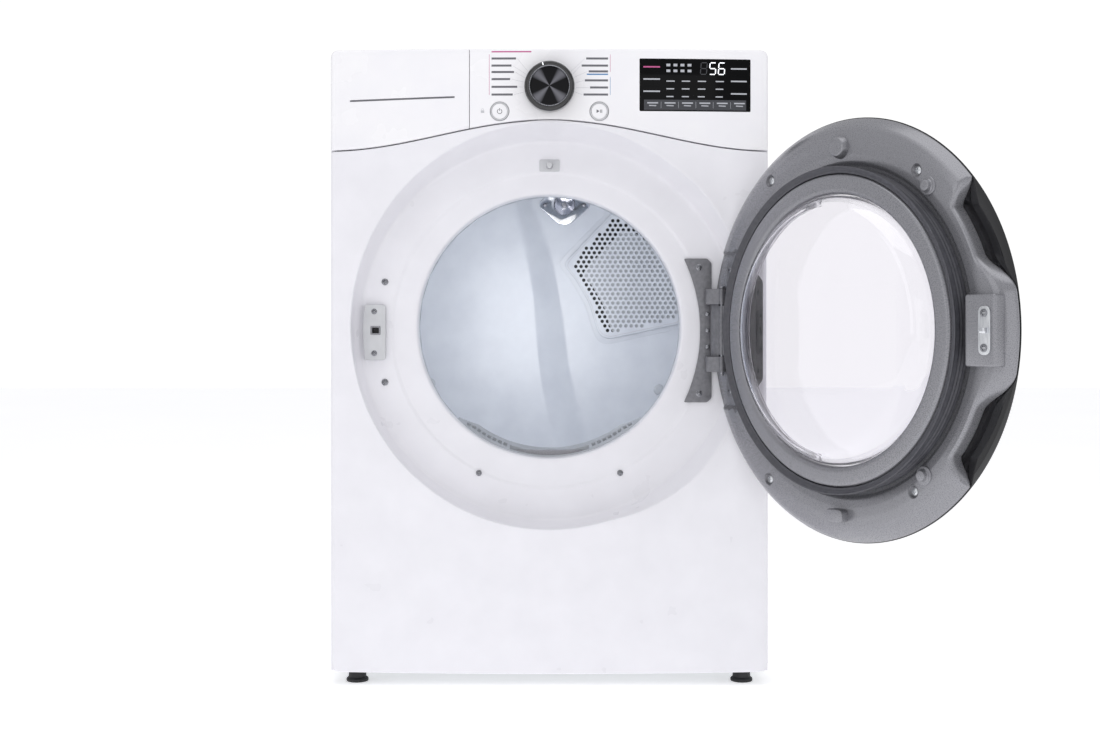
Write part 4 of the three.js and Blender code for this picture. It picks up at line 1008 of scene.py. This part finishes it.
def door_hinge_leaf():
    """Door side of the hinge: a narrow plate with rounded corners, a rib out to its knuckle, and screws."""
    leaf = soft([[232, -104], [262, -104], [262, 104], [232, 104], [232, 80], [243.5, 66], [243.5, -66],
                 [232, -80]], [6, 6, 6, 6, 3, 3, 3, 3])
    rib = soft([[255, 0.4], [255, 2.4], [261, 4.6], [268, 10], [271, 1.6], [262, 0.4]], 0.8)
    knuckle = soft([[3.2, -38], [5, -38], [5, 38], [3.2, 38]], 0.5)
    parts = [
        slab(leaf, 0.4, 2.4, 0.5),
        moved(slab(rib, -38, 38, 0.5), upright(0, 0)),
        moved(lathe(knuckle, steps=48), upright(PIN_FROM_CENTRE[0], PIN_FROM_CENTRE[1])),
    ]
    piece("hinge_leaf_on_door", *combined(parts), "door", HINGE_STEEL, swung,
          stands_for=["hinge_door_leaf"], slot="hinge_steel")
    screw_heads("hinge_leaf_screws", [[dx, 2.4, dz] for dx in (240, 254) for dz in (-94, 94)], 4.2, "door",
                place=swung, facing=1)


# Door -------------------------------------------------------------------------------------------

def rim_notches(radius, depth, turn):
    """Two finger notches in the rim on the handle side: past the notch's radius the rim is drawn in to a
    sixth of its width, with a quick smooth step at the far end and a slow one towards the handle. At the
    hinge, within the bay's half height, the raised flat is let down to the rim."""
    notch_r = 255
    a = np.degrees(turn) % 360
    drawn = 0 * a
    for low, high in ((138.0, 170.5), (190.5, 223.0)):
        far, near = (a - low, high - a) if high < 180 else (high - a, a - low)
        inside = np.clip(np.minimum(far / 4.0, near / 13.0), 0, 1)
        drawn = np.maximum(drawn, inside * inside * (3 - 2 * inside))
    lowered = np.clip((BAY + 2 - np.abs(radius * np.sin(turn))) / 3, 0, 1) * (np.cos(turn) > 0)
    drop = np.interp(radius, [226, 240, 248, 262, 275, 283, 288.5, 293, 296.8, 298.4],
                     [0, 13, 14.4, 15, 14.2, 12.2, 9.3, 5.6, 2.1, 0.3])
    depth = np.maximum(depth - lowered * drop, -3.7)
    return np.where(radius > notch_r, notch_r + (radius - notch_r) * (1 - 0.84 * drawn), radius), depth


def dome(r):
    """Depth of the outer cover: a parabola that bulges from the rim to the middle."""
    return RIM_Y - DOME * (1 - (np.asarray(r, float) / DOOR_R) ** 2)


def dome_band(r0, r1, steps=14):
    """Profile points of the cover from one radius to the other."""
    r = np.linspace(r0, r1, steps)
    return np.stack([r, dome(r)], 1)


DOOR_SCREWS = [(147, 223), (-143, 213), (150, -222), (-137, -215)]


def door_frame():
    """Inner frame: rounded rim, the flat that stands up behind it, a valley and the collar round the
    glass, one turned profile with a round pocket for each screw."""
    profile = soft([
        [298.4, -3.7], [298.4, -1.6], [296.8, 0.8], [293, 5], [288.5, 9.2], [283, 12.2], [275, 14.2],
        [262, 15], [248, 14.4], [240, 13], [236.8, 12.4], [234.2, 10], [231.5, 7.4], [226, 6.4],
        [219.8, 6.2], [219, 9], [219, 30], [217.6, 34.2], [214, 36], [197, 36], [192.4, 34.6], [190.3, 31],
        [190.3, 20], [193.3, 20], [193.3, 30], [197, 33.4], [213, 33.4], [216.4, 30], [216.4, 3.2],
        [230, 4], [237.5, 9.6], [262, 11.4], [277, 10.2], [284, 8], [289.5, 4], [293, -0.5], [293, -3.7],
    ], 1.6, 3)
    body = piece("door_inner_frame", *lathe(profile, steps=480, warp=rim_notches), "door", GREY_PLASTIC,
                 swung, stands_for=["door_frame"], slot="grey_frame")
    pockets = [lathe([[0, 2], [9.4, 2], [9.4, 22], [0, 22]], x, z, 48) for x, z in DOOR_SCREWS]
    cut(body, cutter(combined(pockets), swung))


def door_screws():
    """A flared steel cup in each pocket of the frame, with its screw."""
    floor_y, foot_y = SHOULDER - 3.0, SHOULDER - 4.2
    cup = [[0, floor_y], [6.4, floor_y], [8.4, SHOULDER + 0.5], [9.3, SHOULDER + 0.4], [9.3, foot_y],
           [0, foot_y]]
    cups = [turned(cup, 0.5, x, z, 48) for x, z in DOOR_SCREWS]
    piece("door_screw_cups", *combined(cups), "door", HINGE_STEEL, swung)
    screw_heads("door_screws", [[x, floor_y, z] for x, z in DOOR_SCREWS], 5.2, "door", ALUMINIUM, swung, 1)


def door_bosses():
    """What stands up from the frame: a boss at the top and one at the bottom, the pad under the strike,
    and two bumpers."""
    upper = turned([[0, 9], [17, 9], [16, 16], [14.4, 21], [12.6, 24], [0, 24]], 2.2, 0, 258, 96)
    lower = slab(soft([[-16, -269], [16, -269], [16, -251], [-16, -251]], 8.5, 6), 9, 28, 1.6)
    pad = slab(soft([[-286, -46], [-237, -46], [-237, 46], [-286, 46]], 4.0), 8, STRIKE_PAD, 3.0, 4)
    piece("door_frame_bosses", *combined([upper, lower, pad]), "door", GREY_PLASTIC, swung,
          slot="grey_frame")
    stop = [[0, 13], [13, 13], [13, 15.8], [11.8, 16.6], [9, 16.6], [8, 18], [7, 23], [0, 23.4]]
    stops = [turned(stop, 0.9, x, z, 48) for x, z in ((-163, 191), (-156, -192))]
    piece("door_bumpers", *combined(stops), "door", GREY_PLASTIC, swung, slot="grey_frame")


def door_cover():
    """Outer ring and clear window, which share one parabola."""
    band = dome_band(WINDOW_R + 0.4, DOOR_R - 0.4, 24)
    back = np.array([[298.6, RIM_Y + 0.05], [288, RIM_Y + 0.05]])
    inner = np.flip(dome_band(WINDOW_R + 0.4, 262, 12), 0) + [0, 3]
    profile = np.concatenate([band, [[DOOR_R, RIM_Y - 0.6], [DOOR_R, RIM_Y - 0.15]], back, inner])
    piece("door_cover_ring", *lathe(profile, steps=288), "door", PIANO_BLACK, swung, crease=24,
          stands_for=["door_outer_ring"], slot="black_gloss")
    face = dome_band(0, WINDOW_R - 0.6, 18)
    pane = np.concatenate([face, [[WINDOW_R - 0.3, face[-1, 1] + 1.0], [WINDOW_R - 0.6, face[-1, 1] + 3]],
                           np.flip(face, 0)[1:] + [0, 3]])
    piece("door_cover_window", *lathe(pane), "door", GLASS, swung, crease=60,
          stands_for=["door_outer_window"], slot="clear_glass")


def door_glass():
    """The pressed bowl of glass inside, and the ribbed seal round the collar that holds it."""
    outer = soft([[0, 56], [120, 55.7], [170, 54.4], [179, 49], [189.2, 32], [189.2, 20]],
                 [0, 40, 12, 8, 6, 0], 6, closed=False)
    inner = soft([[185.4, 20], [185.4, 30.6], [176, 45.6], [167, 50.6], [120, 51.7], [0, 52]],
                 [0, 6, 8, 12, 40, 0], 6, closed=False)
    piece("door_glass_bowl", *lathe(np.concatenate([outer, inner]), steps=240), "door", GLASS, swung,
          crease=60, stands_for=["door_glass"], slot="clear_glass")
    lip = soft([[219.8, 8.6], [227, 8.6], [225.4, 12], [226.8, 14], [224.6, 17], [226, 19.4], [224.2, 22],
                [225.8, 25], [225.4, 31], [230, 37.4], [228, 38], [222.6, 33.6], [219.8, 33]], 0.7)
    piece("door_seal", *lathe(lip, steps=240), "door", SEAL_RUBBER, swung,
          stands_for=["door_gasket"], slot="rubber")


def hinge_guard():
    """Dark cover over the hinge's bay, seen through the glass: its outer edge follows the glass."""
    outline = np.concatenate([
        [[172, -74], [184, -86]], arc(0, 0, 215, -23.5, 23.5, 12), [[184, 86], [172, 74]],
    ])
    piece("hinge_guard", *slab(soft(outline, 3.0, 3), 4, 19, 2.0), "door", TEXTURED_BLACK, swung,
          stands_for=["door_hinge_cover"], slot="black_plastic")


def strike():
    """Plate with round ends, its two screws, and the hook: a strip that stands out and turns at its tip."""
    plate = slab(soft([[-280, -31], [-261, -31], [-261, 31], [-280, 31]], 9.4, 6), STRIKE_PAD - 0.1,
                 STRIKE_PAD + 2.4, 0.6)
    piece("strike_plate", *plate, "door", ALUMINIUM, swung, stands_for=["door_strike"], slot="aluminium")
    hook = soft([[-277.5, 30], [-272.5, 30], [-272.5, 36.6], [-270.4, 37.4], [-270.4, 40.5],
                 [-277.5, 40.5]], 1.0)
    piece("strike_hook", *moved(slab(hook, -3.5, 3.5, 0.5), upright(0, 0)), "door", CHROME, swung,
          slot="aluminium")
    screw_heads("strike_screws", [[-270.5, STRIKE_PAD + 2.3, dz] for dz in (22, -22)], 5.4, "door",
                place=swung, facing=1, dome=0.1)


# Drum and rear wall -----------------------------------------------------------------------------

def drum():
    """Drum with a rolled mouth and two pressed hoops, and its three lifters."""
    y = np.linspace(-226, 280, 120)
    hoop = 2.2 * (np.exp(-((y + 150) / 7) ** 2) + np.exp(-((y - 190) / 7) ** 2))
    outer = np.concatenate([[[286, -252], [286.5, -247], [290, -243]], [[318, -231], [323, -229]],
                            np.stack([324.5 - hoop, y], 1), [[324.5, 286]]])
    inner = np.flip(outer, 0) - [1.3, 0]
    piece("drum_barrel", *lathe(np.concatenate([outer, inner]), 0, DRUM_Z, 160), "drum", ENAMEL,
          crease=50, stands_for=["drum_shell"], slot="drum_enamel")
    profile = soft([[-40, 318.5], [-27, 300], [-14, 275], [-7, 268.4], [7, 268.4], [14, 275], [27, 300],
                    [40, 318.5], [0, 321]], 6, 4)
    for number in (1, 2, 3):
        rib = about_drum(slab(profile, -200, 250, 9, 6), -math.radians(120 * (number - 1)))
        piece(f"lifter_rib_{number}", *rib, "drum", ENAMEL, stands_for=[f"lifter_{number}"],
              slot="drum_enamel")


INLET = np.concatenate([
    [[125, 234], [36, 141], [30, 128], [52, 101], [79, 55], [95, 0], [104, -13], [120, -17], [262, 14]],
    arc(0, 0, 275, 8, 55, 5),
])
INLET_MIDDLE = np.array([160, 110])


def inlet(scale, outline=INLET):
    """The air inlet's outline about the recess axis, grown or shrunk about its middle."""
    return INLET_MIDDLE + (outline - INLET_MIDDLE) * scale


def wall_depth(x, z):
    """Depth of the rear wall: the left part stands proud, by 24 mm inside the drum and 6 mm at its rim, and
    falls to the right part down a sloped band whose middle leans and curves in an S from top to bottom."""
    dz = np.clip(z - DISH_Z, -300, 300)
    middle = 1 - 0.212 * dz + 9 * np.sin(dz / 250 * np.pi)
    width = 54 - 0.055 * dz
    t = np.clip((middle + width / 2 - x) / width, 0, 1)
    near = np.clip((308 - np.hypot(x, z - DRUM_Z)) / 36, 0, 1)
    return REAR_WALL_Y - (6 + 18 * near * near * (3 - 2 * near)) * (t + 0.2 * t * t * (3 - 2 * t)) / 1.2


def rear_wall():
    """Rear wall as rings about the drum axis out to a rounded square, its relief added and its two holes
    cut, and a rim that the drum runs on."""
    columns, rows = 200, 90
    turn = np.linspace(-np.pi, np.pi, columns, endpoint=False)[None, :]
    sides = 334 / np.maximum(np.abs(np.cos(turn)), 1e-6)
    ends = 322 / np.maximum(np.abs(np.sin(turn)), 1e-6)
    reach = np.minimum(np.minimum(sides, ends), 425)
    r = 1.0 + (reach - 1.0) * np.linspace(0, 1, rows)[:, None]
    x, z = r * np.cos(turn), DRUM_Z + r * np.sin(turn)
    rings = np.stack([x, wall_depth(x, z), z], -1)
    middle = np.broadcast_to(np.array([0, wall_depth(0.0, DRUM_Z), DRUM_Z]), (1, columns, 3))
    sheet = shell(np.concatenate([middle, rings]), 1.2, around=True)
    wall = piece("rear_wall_plate", *sheet, "cabinet", ENAMEL, crease=40, stands_for=["rear_bulkhead"],
                 slot="drum_enamel")
    cut(wall, cutter(slab(soft(inlet(1.09) + [0, DISH_Z], 14), 260, 303, 0.1)),
        cutter(lathe([[0, 260], [22, 260], [22, 312], [0, 312]], LAMP_X, LAMP_Z, 64)))
    rim = soft([[308, 284], [312.4, 284], [312.4, 301], [308, 301]], 0.8)
    piece("rear_wall_rim", *lathe(rim, 0, DRUM_Z, 160), "cabinet", ENAMEL, slot="drum_enamel")


def air_inlet():
    """Perforated plate set in the rear wall, with a tray, a shadow and a deflector one behind the other."""
    outline = soft(INLET, 9, 5)
    plate = piece("inlet_plate", *slab(outline + [0, DISH_Z], 294.8, 297.2, 1.0), "cabinet", ENAMEL,
                  stands_for=["inlet_grille"], slot="drum_enamel")
    piece("inlet_tray", *slab(soft(inlet(1.13) + [0, DISH_Z], 14), 301.4, 302.1, 0.2), "cabinet", ENAMEL,
          slot="drum_enamel")
    piece("inlet_shadow", *slab(soft(inlet(0.95) + [0, DISH_Z], 8), 300.6, 301.3, 0.2), "cabinet",
          TEXTURED_BLACK, slot="black_plastic")
    pitch, row_pitch = 10.5, 10.5 * 0.866
    i, j = np.meshgrid(np.arange(-4, 30), np.arange(-4, 30))
    spots = np.stack([i * pitch + (j % 2) * pitch / 2, j * row_pitch], -1).reshape(-1, 2)
    spots = spots[inside(spots, inlet(0.9))]
    holes = [lathe([[0, 290], [3.5, 290], [3.5, 302], [0, 302]], x, DISH_Z + z, 14) for x, z in spots]
    cut(plate, cutter(combined(holes)))
    # Painted shade: a darker grey line just inside the plate's outline, standing in for the shade along its
    # edge.
    groove = inlet(0.965, outline) + [0, DISH_Z]
    ink("inlet_plate_edge", [(np.concatenate([groove, groove[:2]]), 1.0)], PALE_INK_AND_SHADE, 0.1, "cabinet",
        lambda x: np.full_like(x, 294.8))
    low = inlet(0.84) + [16, DISH_Z - 14]
    piece("inlet_deflector", *slab(soft(low, 6), 299.6, 300.5, 0.2), "cabinet", MID_PLASTIC,
          slot="light_plastic")


def drum_lamp():
    """Chrome trim with two ears and a screw in each, round a domed lens, its bowl and its bulb."""
    outline = soft(np.concatenate([
        arc(-8, 0, 12, 120, 240, 6), arc(30, -10, 30, 240, 300, 8), arc(68, 0, 12, -60, 60, 6),
        arc(30, 10, 30, 60, 120, 8),
    ]), 1.0, 2) + [0, LAMP_Z]
    trim = piece("lamp_trim", *slab(outline, 294.6, 299.4, 2.0, 5), "cabinet", CHROME,
                 stands_for=["lamp_bezel"], slot="chrome")
    cut(trim, cutter(lathe([[0, 280], [21.4, 280], [21.4, 312], [0, 312]], LAMP_X, LAMP_Z, 72)))
    lens = [[0, 289.6], [9, 290.6], [16, 293.4], [21, 298], [19.4, 298.4], [15, 294.6], [8.6, 292.1],
            [0, 291.2]]
    piece("lamp_glass", *turned(lens, 1.0, LAMP_X, LAMP_Z, 72), "cabinet", GLASS, crease=60,
          stands_for=["lamp_lens"], slot="clear_glass")
    bowl = [[0, 301.6], [8, 301.2], [15, 300.2], [20.4, 298.8], [20.4, 303], [0, 303]]
    piece("lamp_bowl", *turned(bowl, 1.0, LAMP_X, LAMP_Z, 72), "cabinet", CHROME)
    bulb = [[0, 293.4], [4.4, 294.2], [5, 297], [3.2, 300.6], [3.2, 301.4], [0, 301.4]]
    piece("lamp_bulb", *turned(bulb, 1.2, LAMP_X, LAMP_Z, 48), "cabinet", LIGHT_PLASTIC)
    screw_heads("lamp_screws", [[x, 294.7, LAMP_Z] for x in (-9, 69)], 4.2, "cabinet")


def axle_caps():
    """Round caps over the ends of the rear rollers' axles."""
    caps = []
    for x, z in ((-236, DISH_Z - 105), (218, DISH_Z - 118)):
        y = float(wall_depth(x, z))
        cap = [[0, y - 3.4], [7, y - 3.2], [10.4, y - 1.6], [11, y + 0.6], [0, y + 0.6]]
        caps.append(turned(cap, 1.6, x, z, 64))
    piece("axle_caps", *combined(caps), "cabinet", MID_PLASTIC, slot="light_plastic")


def inside(points, outline):
    """True for points inside a closed outline: a ray to the right crosses its edges an odd number of
    times."""
    a, b = outline, np.roll(outline, -1, 0)
    x, y = points[:, :1], points[:, 1:]
    spans = (a[:, 1] > y) != (b[:, 1] > y)
    rise = np.where(b[:, 1] == a[:, 1], 1e-9, b[:, 1] - a[:, 1])
    hits = x < (b[:, 0] - a[:, 0]) * (y - a[:, 1]) / rise + a[:, 0]
    return np.sum(spans & hits, 1) % 2 == 1


def outlet():
    """Sloped strip at the bottom of the opening, thinning out at both ends, with two rows of square holes
    over a black backing."""
    turn = np.radians(np.linspace(225, 315, 90))[None, :]
    taper = np.clip(np.minimum(turn - turn[0, 0], turn[0, -1] - turn) / math.radians(9), 0.02, 1)

    def bent(profile):
        r, y = profile[:, :1], profile[:, 1:]
        r = np.where(r < 208.8, 208.8 - (208.8 - r) * taper, r)
        ring = np.stack([r * np.cos(turn), y + 0 * r, DRUM_Z + r * np.sin(turn)], -1)
        rows, columns = ring.shape[:2]
        index = np.arange(rows * columns).reshape(rows, columns)
        ends = [index[:, 0].tolist()[::-1], index[:, -1].tolist()]
        return ring.reshape(-1, 3), grid_faces(rows, columns, wrap_rows=True) + ends

    strip = piece("outlet_strip", *bent(soft([[208.6, -278.8], [206.8, -276], [198.4, -243], [197, -240.6],
                                              [200, -240.6], [211.2, -240.6], [211.2, -278.8]], 0.8, 2)),
                  "cabinet", MID_PLASTIC, stands_for=["outlet_grille"], slot="grey_frame")
    backing = np.array([[211.3, -278.6], [211.3, -240.8], [211.9, -240.8], [211.9, -278.6]])
    piece("outlet_backing", *bent(backing), "cabinet", TEXTURED_BLACK, slot="black_plastic")
    tools = [box(-64, 64, -276, -258, 300, 360, 0.2)]
    hole = box(-3.2, 3.2, -268, -254, -225, -185, 0.3)
    for side in (-1, 1):
        tools += [about_drum(hole, side * math.radians(20.6 + 2.7 * i)) for i in range(8)]
    cut(strip, cutter(combined(tools)))


# Feet -------------------------------------------------------------------------------------------

def feet():
    """Levelling foot: a flared rubber-tipped pad, a ribbed neck and its threaded stem."""
    y = np.linspace(3, 24, 43)
    thread = np.stack([5.6 + 0.35 * np.cos(y / 1.5 * 2 * np.pi), y], 1)
    outline = np.concatenate([
        soft([[0, -22], [17.5, -22], [17.5, -17.5], [14, -15], [14, -1], [6, -1]], 1.2, closed=False),
        thread, [[0, 25]],
    ])
    for side, sx in (("left", -1), ("right", 1)):
        for end, sy in (("front", -1), ("rear", 1)):
            name = f"foot_{end}_{side}"
            piece(f"levelling_{name}", *lathe(outline, steps=64), name, TEXTURED_BLACK,
                  upright(sx * 305, sy * 310), stands_for=[name], slot="black_plastic")


# Build ------------------------------------------------------------------------------------------

front_panel()
recess_fittings()
control_strip()
push_buttons()
program_dial()
fascia_print()
display()
corner_fillers()
latch()
hinge()
door_hinge_leaf()
door_frame()
door_screws()
door_bosses()
door_cover()
door_glass()
hinge_guard()
strike()
drum()
rear_wall()
air_inlet()
drum_lamp()
axle_caps()
outlet()
feet()

CARRIED = {
    WHITE_COAT: ["left_side_panel", "right_side_panel", "top_panel"],
    GALVANISED: ["rear_panel", "terminal_cover", "base_pan", "front_bulkhead", "exhaust_duct",
                 "heater_housing", "rear_air_duct", "motor_body", "idler_arm"],
    LIGHT_PLASTIC: ["drawer_tray", "drawer_housing", "lint_duct", "blower_housing"],
    GREY_PLASTIC: ["lint_filter"],
    TEXTURED_BLACK: ["blower_wheel", "idler_pulley"],
    RUBBER: ["drive_belt", "roller_front_left", "roller_front_right", "roller_rear_left",
             "roller_rear_right"],
    FELT: ["front_felt_seal", "rear_felt_seal"],
    ALUMINIUM: ["motor_shaft"],
    BOARD: ["control_board"],
}
for material, names in CARRIED.items():
    for name in names:
        nodes[name].data.materials.clear()
        nodes[name].data.materials.append(material)


# Floor, light and background ----------------------------------------------------------------------

def floor():
    """A plain pale sheet under the feet."""
    made, tree, shader, place = shaded("pale_floor", "#F7F7F8", 0.7, Emission_Strength=0.45)
    shader.inputs["Emission Color"].default_value = linear("#FFFFFF")
    vary(tree, shader, speckle(tree, place, 900), "#F6F6F7", "#F9F9FA", (0.65, 0.75))
    corners = [[x, y, -22.1] for x, y in ((-9000, -6000), (9000, -6000), (9000, 12000), (-9000, 12000))]
    sheet = piece("floor", corners, [[0, 1, 2, 3]], None, made)


def softbox(name, location, target, size, power):
    """A large square lamp aimed at a point, all in metres and watts."""
    light = bpy.data.lights.new(name, "AREA")
    light.shape = "RECTANGLE"
    light.size, light.size_y = size
    light.energy = power
    lamp = bpy.data.objects.new(name, light)
    bpy.context.scene.collection.objects.link(lamp)
    lamp.location = location
    aim = Vector(target) - Vector(location)
    lamp.rotation_euler = aim.to_track_quat("-Z", "Y").to_euler()


def background():
    """Plain white where it is seen, directly or through glass, and dimmer where it only gives light."""
    world = bpy.data.worlds.new("studio")
    bpy.context.scene.world = world
    world.use_nodes = True
    sky = world.node_tree
    sky.nodes.clear()
    path = node(sky, "ShaderNodeLightPath").outputs
    seen = node(sky, "ShaderNodeMath", {
        0: path["Is Camera Ray"], 1: path["Is Transmission Ray"],
    }, operation="MAXIMUM").outputs[0]
    dim = node(sky, "ShaderNodeBackground", {"Color": (0.97, 0.975, 1.0, 1.0), "Strength": 0.58})
    bright = node(sky, "ShaderNodeBackground", {"Color": (1.0, 1.0, 1.0, 1.0), "Strength": 1.05})
    mixed = node(sky, "ShaderNodeMixShader", {0: seen, 1: dim.outputs[0], 2: bright.outputs[0]})
    node(sky, "ShaderNodeOutputWorld", {"Surface": mixed.outputs[0]})


floor()
softbox("overhead", (0.0, -1.0, 3.0), (0.0, 0.1, 0.5), (3.0, 2.2), 24)
softbox("left_box", (-2.8, -2.2, 1.6), (0.0, 0.0, 0.5), (1.6, 2.4), 9)
softbox("right_box", (2.9, -2.4, 1.2), (0.2, 0.0, 0.5), (1.4, 2.2), 7)
softbox("front_fill", (0.0, -4.2, 1.0), (0.0, 0.0, 0.55), (2.4, 1.8), 8)
softbox("drum_fill", (-0.03, -0.22, 0.56), (0.05, 0.3, 0.54), (0.28, 0.28), 1.25)
background()
bpy.context.scene.view_settings.view_transform = "Standard"
